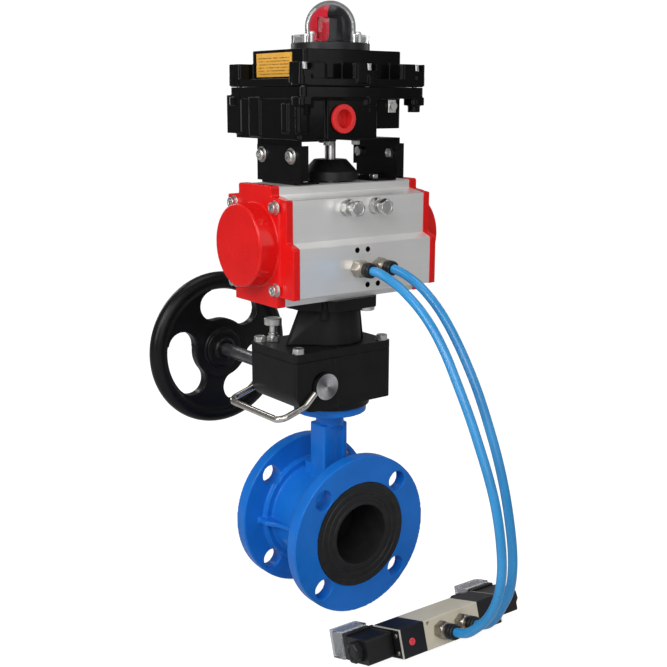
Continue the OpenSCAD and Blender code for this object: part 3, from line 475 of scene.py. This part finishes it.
for nm, route in (("tube_a", ROUTE_A), ("tube_b", ROUTE_B)):
    pts = [R3(p) for p in crom(route, 8)]
    t = curve_piece("air_" + nm, pts, 0.004, "tube", "root", res=10)
    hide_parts(nm)

# ------------------------------------------------------------------ turned and hexagonal pieces, built as rings round an axis
def circ_r(r):
    return lambda t: r

def poly_r(af, n=6, rc=None, a0=0.0):
    """across-flats radius of a polygon, cut by a chamfer circle rc"""
    def f(t):
        k = 2 * math.pi / n
        u = ((t - a0 + k / 2) % k) - k / 2
        r = af / 2 / math.cos(u)
        return min(r, rc) if rc else r
    return f

def cross_r(l, w):
    def f(t):
        s, c = abs(math.sin(t)), abs(math.cos(t))
        return max(min(l, w / max(s, 1e-6)), min(l, w / max(c, 1e-6)))
    return f

def slot_r(l, w):
    def f(t):
        return min(l, w / max(abs(math.sin(t)), 1e-6))
    return f

def knurl_r(r, d, k):
    return lambda t: r - d * (0.5 + 0.5 * math.cos(k * t))

def spin(bm, org, axis, levels, n=72, ref=None):
    """levels: (height, radius function or number); closes to a point at both ends"""
    ax = Vector(axis).normalized()
    u = Vector(ref) if ref else (Vector((0, 0, 1)) if abs(ax.z) < 0.7 else Vector((1, 0, 0)))
    u = (u - ax * u.dot(ax)).normalized()
    v = ax.cross(u)
    o = Vector(org)
    rings = []
    for h, r in levels:
        f = r if callable(r) else circ_r(r)
        rings.append([bm.verts.new(R3(o + ax * h + (u * math.cos(t) + v * math.sin(t)) * f(t)))
                      for t in (2 * math.pi * i / n for i in range(n))])
    for a, b in zip(rings, rings[1:]):
        for i in range(n):
            j = (i + 1) % n
            bm.faces.new((a[i], a[j], b[j], b[i]))
    for ring, h, flip in ((rings[0], levels[0][0], True), (rings[-1], levels[-1][0], False)):
        c = bm.verts.new(R3(o + ax * h))
        for i in range(n):
            j = (i + 1) % n
            bm.faces.new((c, ring[j], ring[i]) if flip else (c, ring[i], ring[j]))

def piece(name, body, mat, build, nodes=(), angle=28, mats=None):
    me = bpy.data.meshes.new(name)
    bm = bmesh.new()
    build(bm)
    bmesh.ops.remove_doubles(bm, verts=bm.verts, dist=0.0000005)
    for e in bm.edges:
        if len(e.link_faces) == 2:
            e.smooth = e.calc_face_angle(0.0) < math.radians(angle)
    for f in bm.faces:
        f.smooth = True
    bm.to_mesh(me)
    bm.free()
    o = bpy.data.objects.new(name, me)
    SC.collection.objects.link(o)
    me.materials.append(MT[mat])
    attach(o, body)
    if nodes:
        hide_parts(*nodes)
    return o

def hex_bolt(bm, org, ax, af, h, shank_r, shank_l, washer=None, ang=0.0, dish=0.35):
    t = 0.0
    lv = [(-shank_l, shank_r * 0.8), (-shank_l + 0.5, shank_r), (0.0, shank_r)]
    if washer:
        wr, wt = washer
        lv += [(0.0, wr - 0.12), (0.12, wr), (wt - 0.12, wr), (wt, wr - 0.12)]
        t = wt
    rc = af / 2 * 1.06
    a = math.radians(ang)
    lv += [(t, poly_r(af, 6, rc * 1.02, a)), (t + 0.25, poly_r(af, 6, None, a)), (t + h - 0.75, poly_r(af, 6, None, a)),
           (t + h - 0.28, poly_r(af, 6, rc * 1.02, a)), (t + h, poly_r(af * 0.965, 6, af / 2 * 0.95, a)),
           (t + h, af / 2 * 0.8), (t + h - dish, af / 2 * 0.7)]
    spin(bm, org, ax, lv, 96)

def socket_bolt(bm, org, ax, r, h, sock, depth, shank_r, shank_l, washer=None, ang=0.0):
    t = 0.0
    lv = [(-shank_l, shank_r * 0.8), (-shank_l + 0.5, shank_r), (0.0, shank_r)]
    if washer:
        wr, wt = washer
        lv += [(0.0, wr - 0.1), (0.1, wr), (wt - 0.1, wr), (wt, wr - 0.1)]
        t = wt
    a = math.radians(ang)
    lv += [(t, r - 0.25), (t + 0.25, knurl_r(r, 0.14, 36)), (t + h - 0.7, knurl_r(r, 0.14, 36)), (t + h - 0.45, r - 0.06), (t + h - 0.12, r - 0.32),
           (t + h, r - 0.7), (t + h, poly_r(sock + 0.5, 6, None, a)), (t + h - 0.3, poly_r(sock, 6, None, a)),
           (t + h - depth, poly_r(sock, 6, None, a)), (t + h - depth - 0.5, 0.4)]
    spin(bm, org, ax, lv, 144)

def pan_cross(bm, org, ax, r, h, shank_r, shank_l, washer=None, ang=0.0, kind="cross"):
    t = 0.0
    lv = [(-shank_l, shank_r * 0.8), (-shank_l + 0.4, shank_r), (0.0, shank_r)]
    if washer:
        wr, wt = washer
        lv += [(0.0, wr - 0.1), (0.1, wr), (wt - 0.1, wr), (wt, wr - 0.1)]
        t = wt
    lv += [(t, r - 0.15), (t + 0.2, r), (t + h * 0.45, r * 0.985), (t + h * 0.72, r * 0.92), (t + h * 0.9, r * 0.8), (t + h * 0.985, r * 0.66)]
    fn = cross_r(r * 0.56, r * 0.13) if kind == "cross" else slot_r(r * 0.64, r * 0.13)
    lv += [(t + h, fn), (t + h * 0.55, fn if kind == "cross" else fn), (t + h * 0.5, r * 0.05)]
    c, s = math.cos(math.radians(ang)), math.sin(math.radians(ang))
    ref = (c, 0, s) if abs(Vector(ax).y) > 0.7 else ((0, c, s) if abs(Vector(ax).x) > 0.7 else (c, s, 0))
    spin(bm, org, ax, lv, 120, ref)

def hex_nut(bm, org, ax, af, h, hole, ang=0.0, n=6):
    a = math.radians(ang)
    rc = af / 2 * 1.065
    k = 96 if n == 6 else 128
    lv = [(0.0, hole), (0.0, poly_r(af * 0.96, n, af / 2 * 0.95, a)), (0.45, poly_r(af, n, None, a)), (h - 0.7, poly_r(af, n, None, a)),
          (h - 0.25, poly_r(af, n, rc * 1.02, a)), (h, poly_r(af * 0.96, n, af / 2 * 0.95, a)), (h, hole + 0.4), (h - 0.4, hole)]
    spin(bm, org, ax, lv, k)

CT = 182.5
def b_gearbox_screws(bm):
    for i, (x, y) in enumerate(((-59, -31.5), (-59, 31.5), (38, -31.5), (38, 31.5))):
        hex_bolt(bm, (x, y, CT), (0, 0, 1), 10, 4.2, 2.45, 20, (5.8, 0.7), ang=17 + 29 * i)
piece("gearbox_bolts", "root", "zinc", b_gearbox_screws, ["gearbox_screws"])

def b_tower_bolts(bm):
    for i, (x, y) in enumerate(((24.75, -24.75), (-24.75, 24.75), (24.75, 24.75))):
        hex_bolt(bm, (x, y, 217), (0, 0, -1), 12.9, 4.9, 3.9, 18, (7.6, 0.6), ang=11 + 31 * i)
piece("tower_hex_bolts", "root", "zinc", b_tower_bolts, ["tower_bolts"])
# painted shade: the stud takes the black casting finish so that it reads as the dark shadow gap at this corner of the
# tower plate
def b_stud(bm):
    spin(bm, (-24.75, -24.75, 208), (0, 0, 1), [(0, 3.4), (0.5, 3.9), (27.5, 3.9), (28, 3.4)], 48)
piece("tower_stud", "root", "cast", b_stud)

def b_cap_screws(bm):
    for s in (-1, 1):
        for i, (y, z) in enumerate(((-33, 243), (33, 243), (-33, 314.5), (33, 314.5))):
            socket_bolt(bm, (s * 83.2, y, z), (s, 0, 0), 4.85, 4.6, 4.9, 3.0, 2.5, 20, (6.1, 0.75), ang=13 * i + 7)
piece("cap_socket_screws", "root", "zinc", b_cap_screws, ["end_cap_screws"])

def b_stop(bm):
    for i, x in enumerate((-16.2, 16.2)):
        a = 8 + 21 * i
        lv = [(0.0, 3.2), (0.5, 3.95)]
        z = 0.5
        spin(bm, (x, -21, 312), (0, -1, 0), [(0.0, 3.2), (0.6, 3.92), (37.0, 3.92), (37.2, 3.5), (37.5, 3.5)], 48)
        hex_bolt(bm, (x, -58.4, 312), (0, -1, 0), 12.9, 5.6, 3.9, 3.0, None, ang=a)
        hex_nut(bm, (x, -46.2, 312), (0, -1, 0), 12.9, 6.6, 3.95, ang=a + 17)
        spin(bm, (x, -46.0, 312), (0, -1, 0), [(0.0, 7.2), (0.05, 7.9), (0.35, 7.9), (0.45, 7.4)], 64)
        # thread crests seen between the nut and the head
        for k in range(4):
            spin(bm, (x, -53.3 - 1.25 * k, 312), (0, -1, 0), [(0.0, 3.7), (0.45, 4.0), (0.6, 4.0), (1.05, 3.7)], 48)
piece("travel_stop_bolts", "root", "zinc", b_stop, ["stop_bolts"])

def b_bracket(bm):
    for s in (-1, 1):
        for i, y in enumerate((-22, 24)):
            pan_cross(bm, (s * 58.6, y, 357), (s, 0, 0), 5.5, 3.3, 2.5, 8, (7.1, 1.0), ang=25 + 40 * i)
            hex_nut(bm, (s * 54.5, y, 357), (-s, 0, 0), 8, 4, 2.5, ang=20 * i)
        for y in (-15, 15):
            hex_bolt(bm, (s * 40, y, 334.1), (0, 0, 1), 8, 3.4, 2, 11, None, ang=12)
    for x, y in ((-21, -24), (-21, 26), (10.6, -24), (10.6, 26)):
        hex_bolt(bm, (x, y, 369.2), (0, 0, -1), 7, 3.7, 2.2, 6.2, None, ang=25)
piece("bracket_fasteners", "root", "zinc", b_bracket, ["bracket_screws"])

BX, BY = -1.5, 3.5
LUGS = ((BX - 62, BY - 49.5), (BX + 62, BY - 49.5), (BX - 62, BY + 49.5), (BX + 62, BY + 49.5), (5, BY - 50), (-8, BY + 50))
def b_box_bolts(bm):
    for i, (x, y) in enumerate(LUGS):
        socket_bolt(bm, (x, y, 430), (0, 0, 1), 4.25, 5.9, 4.0, 3.0, 2.3, 26, None, ang=9 * i)
    for a in range(20, 380, 90):
        c, s = 29.2 * math.cos(math.radians(a)), 29.2 * math.sin(math.radians(a))
        pan_cross(bm, (c, s, 461.1), (0, 0, 1), 2.9, 2.4, 1.45, 11, None, ang=a + 15)
piece("switch_box_screws", "root", "zinc", b_box_bolts, ["switch_box_bolts"])

LP = (-49.4, 23.4)
def b_lock_pin(bm):
    x, y = LP
    spin(bm, (x, y, 0), (0, 0, 1), [(166.6, 1.9), (167.2, 2.5), (191.2, 2.5), (191.2, 3.2), (191.7, 3.6), (198.5, 3.6), (198.5, 7.7),
        (199.0, knurl_r(8.3, 0.22, 48)), (204.4, knurl_r(8.3, 0.22, 48)), (204.9, 7.8), (204.9, 6.9), (204.6, 6.6), (204.6, 1.0)], 192)
piece("lock_knob", "lock_pin_group", "zinc", b_lock_pin, ["lock_pin"])

def b_guide(bm):
    hex_nut(bm, (*LP, CT), (0, 0, 1), 10.9, 5.5, 2.62, ang=14)
    spin(bm, (*LP, CT), (0, 0, 1), [(5.3, 2.65), (5.3, 4.4), (7.7, 4.4), (8.0, 4.1), (8.0, 2.65), (5.4, 2.65)], 64)
piece("lock_pin_guide_nut", "root", "zinc", b_guide, ["lock_pin_guide"])

# ------------------------------------------------------------------ push-in fittings and collets
SP, SYAW, STILT = Vector((-21.3, -170.5, -61.1)), math.radians(-1.8), math.radians(17.1)
def S3(p):
    """a point of the solenoid valve's own frame in the symmetric frame"""
    x, y, z = p
    y, z = y * math.cos(STILT) + z * math.sin(STILT), -y * math.sin(STILT) + z * math.cos(STILT)
    return Vector((x * math.cos(SYAW) - y * math.sin(SYAW), x * math.sin(SYAW) + y * math.cos(SYAW), z)) + SP
def SD(d):
    return (S3(d) - S3((0, 0, 0))).normalized()

FIT = [(Vector((x, 0, 258.8)), Vector((0, -1, 0)), -56.35, 0) for x in (-12, 12)]
def b_fit(bm):
    def one(org, ax, a):
        spin(bm, org, ax, [(-9.3, 5.6), (-9.0, 6.15), (0.0, 6.15), (0.0, poly_r(13.6, 6, 7.2, a)), (0.5, poly_r(14, 6, None, a)), (8.6, poly_r(14, 6, None, a)),
            (9.3, poly_r(14, 6, 7.3, a)), (10.1, poly_r(13.4, 6, 6.7, a)), (10.15, 6.9), (10.6, 6.55), (11.2, 6.55), (11.6, 6.9), (13.65, 6.9), (13.65, 4.4), (12, 4.4)], 96)
    for x in (-12, 12):
        one(Vector((x, -56.35, 258.8)), (0, -1, 0), 0.3 + x * 0.02)
    for x in (17, 41):
        one(S3((x, 0, 14)), SD((0, -1, 0)), 0.2 + x * 0.01)
piece("push_in_bodies", "root", "nickel", b_fit, ["push_fittings"])

def b_collet(bm):
    def one(org, ax):
        spin(bm, org, ax, [(13.7, 4.1), (13.7, 6.6), (13.95, 6.85), (18.0, 6.85), (18.5, 6.5), (18.55, 5.2), (19.2, 5.3), (19.5, knurl_r(6.85, 0.3, 16)), (20.9, knurl_r(6.6, 0.3, 16)),
            (21.55, 5.7), (21.55, 4.15), (19, 4.1)], 96)
    for x in (-12, 12):
        one(Vector((x, -56.35, 258.8)), (0, -1, 0))
    for x in (17, 41):
        one(S3((x, 0, 14)), SD((0, -1, 0)))
piece("release_collets", "root", "plastic", b_collet, ["fitting_collets"])

# ------------------------------------------------------------------ solenoid valve: coil nuts, glands, override buttons, small screws
SOL_L = 62.4
def b_coil_nuts(bm):
    for sgn in (-1, 1):
        x0 = -56.05 if sgn < 0 else SOL_L + 56.05
        spin(bm, S3((x0, 23, 13.4)), SD((sgn, 0, 0)), [(-29, 4.0), (-28.6, 4.45), (0.0, 4.45), (0.0, poly_r(16.0, 8, None, 0.3)), (0.7, poly_r(17, 8, None, 0.3)),
            (6.3, poly_r(17, 8, None, 0.3)), (7.1, poly_r(15.6, 8, None, 0.3)), (7.4, poly_r(14.4, 8, None, 0.3)), (7.4, 5.2), (6.6, 4.8), (6.6, 1.0)], 128)
piece("octagonal_coil_nuts", "root", "plastic", b_coil_nuts, ["coil_nuts"])

def b_glands(bm):
    for sgn in (1, -1):
        x0 = -32 if sgn > 0 else SOL_L + 32
        spin(bm, S3((x0, 54, 15)), SD((sgn, 0, 0)), [(0.0, 3.3), (0.0, 6.1), (0.4, 6.5), (4.1, 6.5), (4.1, poly_r(12.4, 8, None, 0.2)), (4.7, poly_r(13.2, 8, None, 0.2)),
            (14.6, poly_r(13.2, 8, None, 0.2)), (15.7, poly_r(11.6, 8, None, 0.2)), (16.0, 5.0), (16.0, 3.5), (15.4, 3.2), (1.0, 3.2)], 128)
piece("cable_glands", "root", "plastic", b_glands, ["connector_glands"])

def b_button(x):
    def f(bm):
        spin(bm, S3((x, 0, 12.7)), SD((0, -1, 0)), [(-4.6, 2.9), (-4.3, 3.16), (0.2, 3.16), (0.45, 2.95), (0.5, 2.6), (0.5, slot_r(1.9, 0.42)), (-0.2, slot_r(1.9, 0.42)), (-0.25, 0.2)], 96, SD((0.6, 0, 0.8)))
    return f
piece("override_button_left", "left_button", "button", b_button(-14.9), ["left_override"])
piece("override_button_right", "right_button", "button", b_button(SOL_L + 14.9), ["right_override"])

def b_sol_screws(bm):
    # plate screws beside the coils, two on each side
    for sgn in (-1, 1):
        xs = -27.35 if sgn < 0 else SOL_L + 27.35
        for y, z in ((4.6, 20.5), (4.6, 5.6)):
            pan_cross(bm, S3((xs, y, z)), SD((sgn, 0, 0)), 1.9, 1.1, 0.9, 0.5, None, ang=30)
piece("plate_screws", "root", "nickel", b_sol_screws)

# ------------------------------------------------------------------ declutch bail: one bent rod
def fillet_path(pts, rad, seg=10):
    out = [Vector(pts[0])]
    for i in range(1, len(pts) - 1):
        a, b, c = Vector(pts[i - 1]), Vector(pts[i]), Vector(pts[i + 1])
        u, v = (a - b).normalized(), (c - b).normalized()
        th = u.angle(v)
        r = rad[i - 1] if hasattr(rad, "__len__") else rad
        d = min(r / math.tan(th / 2), (a - b).length * 0.48, (c - b).length * 0.48)
        r = d * math.tan(th / 2)
        ctr = b + (u + v).normalized() * (r / math.sin(th / 2))
        p0, p1 = b + u * d - ctr, b + v * d - ctr
        w = p0.angle(p1)
        for k in range(seg + 1):
            t = k / seg
            out.append(ctr + (p0 * math.sin((1 - t) * w) + p1 * math.sin(t * w)) / math.sin(w))
    out.append(Vector(pts[-1]))
    return out
bail = fillet_path([(-48.5, -42.3, 146), (-60, -42.3, 135.3), (-87.1, -42.3, 127.0), (-87.1, 42.3, 127.0), (-60, 42.3, 135.3), (-48.5, 42.3, 146)], [14, 9, 9, 14])
o = curve_piece("declutch_bail", [R3(p) for p in bail], 0.003, "rod", "declutch", res=16)
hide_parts("lever_bail")

# ------------------------------------------------------------------ castings: rounded by a fine remesh and a light smoothing
def cast(node, mat, voxel, iters, ratio=0.5):
    o = N[node]
    if not o.material_slots:
        o.data.materials.append(MT[mat])
    for s in o.material_slots:
        s.material = MT[mat]
    w = o.modifiers.new("weld", "WELD")
    w.merge_threshold = 0.000004
    r = o.modifiers.new("cast", "REMESH")
    r.mode = "VOXEL"
    r.voxel_size = voxel * 0.001
    r.use_smooth_shade = True
    s = o.modifiers.new("soft", "SMOOTH")
    s.factor = 0.5
    s.iterations = iters
    if ratio < 1:
        d = o.modifiers.new("light", "DECIMATE")
        d.ratio = ratio
    for p in o.data.polygons:
        p.use_smooth = True
    return o
CAST = {"left_end_cap": ("red", 0.5, 7, 0.4), "right_end_cap": ("red", 0.5, 7, 0.4), "valve_body": ("blue", 0.9, 5, 0.5), "gearbox_housing": ("cast", 0.6, 5, 0.5), "handwheel": ("wheel", 0.7, 16, 0.5), "mounting_tower": ("cast", 0.6, 6, 0.5),
        "switch_housing": ("box", 0.55, 4, 0.45), "switch_cover": ("box", 0.55, 4, 0.45)}
for n, a in CAST.items():
    cast(n, *a)

# ------------------------------------------------------------------ CAD nodes kept as they are
KEEP = {
 "valve_body": ("blue", 0.9), "seat_liner": ("rubber", 0.3), "shaft_bushes": ("acetal", 0), "valve_plugs": ("dark", 0.3),
 "gearbox_housing": ("cast", 0.9), "gearbox_cover": ("cast", 0.25), "gearbox_screws": ("zinc", 0.3), "lock_pin_guide": ("zinc", 0.3),
 "mounting_tower": ("cast", 0.6), "tower_bolts": ("zinc", 0.3), "actuator_body": ("body", 0.25), "left_end_cap": ("red", 0.6),
 "right_end_cap": ("red", 0.6), "end_cap_screws": ("zinc", 0.3), "stop_bolts": ("zinc", 0.3), "push_fittings": ("nickel", 0.3),
 "fitting_collets": ("plastic", 0.3), "lower_brackets": ("sheet", 0.3), "upper_brackets": ("sheet", 0.3), "bracket_screws": ("zinc", 0.3),
 "switch_housing": ("box", 0.8), "switch_cover": ("box", 0.8), "switch_box_bolts": ("zinc", 0.25), "conduit_plug": ("plug", 0.4),
 "earth_terminal": ("zinc", 0.2), "info_label": ("label", 0), "indicator_dome": ("clear", 0), "dome_ring": ("plastic", 0.5),
 "microswitches": ("plastic", 0.3), "terminal_strip": ("terminal", 0.3), "solenoid_body": ("ivory", 0.35), "pilot_blocks": ("pilot", 0.5),
 "pilot_plates": ("plate", 0.1), "coils": ("coil", 0.5), "coil_nuts": ("plastic", 0.3), "connector_bases": ("coil", 0.5),
 "connector_covers": ("smoke", 0.4), "connector_glands": ("plastic", 0.3), "disc": ("disc", 0.5), "valve_stem": ("dark", 0.3),
 "disc_pins": ("dark", 0.2), "worm_wheel": ("bronze", 0.2), "drive_coupling": ("dark", 0.3), "pinion": ("dark", 0.2),
 "cone_coupler": ("plastic", 0.5), "switch_shaft": ("zinc", 0.3), "switch_cams": ("plug", 0.3), "indicator_rotor": ("indicator", 0.3),
 "left_piston": ("alu", 0.3), "right_piston": ("alu", 0.3), "eccentric_sleeve": ("turned", 0.3), "lever_bail": ("rod", 0),
 "handwheel": ("wheel", 0.8), "worm_shaft": ("dark", 0.2), "lock_pin": ("zinc", 0.3), "left_override": ("button", 0.2),
 "right_override": ("button", 0.2), "spool": ("zinc", 0.2)}
for n, (m_, w_) in KEEP.items():
    if n not in CAST and not N[n].hide_render:
        keep(n, m_, w_)

# ------------------------------------------------------------------ floor and light
FLOOR_Z = -0.0772
def disc_mesh(name, z, radius=9.0):
    me = bpy.data.meshes.new(name)
    bm = bmesh.new()
    bmesh.ops.create_circle(bm, cap_ends=True, segments=96, radius=radius)
    bm.to_mesh(me)
    bm.free()
    o = bpy.data.objects.new(name, me)
    o.location = (0, 0.05, z)
    SC.collection.objects.link(o)
    return o

def studio():
    # what the eye sees: a pale, evenly lit sweep; what lights the object: a plain floor just under it
    a = disc_mesh("studio_floor", FLOOR_Z)
    m, nt, b = new_mat("pale_floor")
    n1 = noise(nt, 3, 3)
    nt.links.new(ramp(nt, n1.outputs["Fac"], (0.26, 0.26, 0.265), (0.28, 0.28, 0.285), 0.3, 0.7), b.inputs["Base Color"])
    sset(b, "Roughness", 0.9)
    sset(b, "Specular IOR Level", 0.0)
    b.inputs["Emission Color"].default_value = (1, 1, 1, 1)
    b.inputs["Emission Strength"].default_value = 0.95
    a.data.materials.append(m)
    a.visible_diffuse = False
    a.visible_glossy = False
    a.visible_shadow = False
    c = disc_mesh("studio_floor_bounce", FLOOR_Z - 0.0004)
    m2, nt2, b2 = new_mat("bounce_floor")
    n2 = noise(nt2, 3, 3)
    nt2.links.new(ramp(nt2, n2.outputs["Fac"], (0.58, 0.58, 0.585), (0.62, 0.62, 0.625), 0.3, 0.7), b2.inputs["Base Color"])
    sset(b2, "Roughness", 0.9)
    sset(b2, "Specular IOR Level", 0.0)
    c.data.materials.append(m2)
    c.visible_camera = False
    c.visible_transmission = False
studio()

def area(name, loc, target, size, power, color=(1, 1, 1), size_y=None):
    l = bpy.data.lights.new(name, "AREA")
    l.shape = "RECTANGLE"
    l.size = size
    l.size_y = size_y or size
    l.energy = power
    l.color = color
    o = bpy.data.objects.new(name, l)
    SC.collection.objects.link(o)
    o.location = loc
    o.rotation_euler = (Vector(target) - Vector(loc)).to_track_quat("-Z", "Y").to_euler()
    return o

C0 = Vector((0.0, 0.05, 0.2))
def place(side, back, up):
    """a point at so many metres to the right of, behind and above the object, as the camera stands"""
    d = Vector((fwd.x, fwd.y, 0)).normalized()
    s = Vector((rgt.x, rgt.y, 0)).normalized()
    return C0 + s * side + d * back + Vector((0, 0, up))

area("key_left", place(-0.85, -0.75, 0.55), C0 + Vector((0, 0, 0.03)), 0.4, 6.6, size_y=1.0)
area("near_front", place(0.06, -0.68, 0.32), C0 + Vector((-0.04, 0, 0.08)), 0.6, 2.1, size_y=0.7)
area("fill_right", place(1.6, -0.7, 0.8), C0, 0.5, 3.5, size_y=1.4)
area("front_soft", place(-0.8, -2.2, 1.4), C0, 1.3, 17, size_y=0.8)
area("top_soft", place(0.0, 0.1, 1.9), C0, 1.1, 6.5, size_y=1.1)
area("rim_left", place(-1.1, 1.3, 0.7), C0, 0.16, 4.5, size_y=1.5)
area("rim_right", place(1.3, 1.1, 0.6), C0, 0.16, 3.5, size_y=1.5)

w = bpy.data.worlds.new("studio_world")
SC.world = w
w.use_nodes = True
wt = w.node_tree
bg = wt.nodes["Background"]
bg.inputs["Color"].default_value = (1.0, 1.0, 1.0, 1)
lp = wt.nodes.new("ShaderNodeLightPath")
mr = wt.nodes.new("ShaderNodeMapRange")
mr.inputs["To Min"].default_value = 0.2
mr.inputs["To Max"].default_value = 1.04
wt.links.new(lp.outputs["Is Camera Ray"], mr.inputs["Value"])
wt.links.new(mr.outputs["Result"], bg.inputs["Strength"])
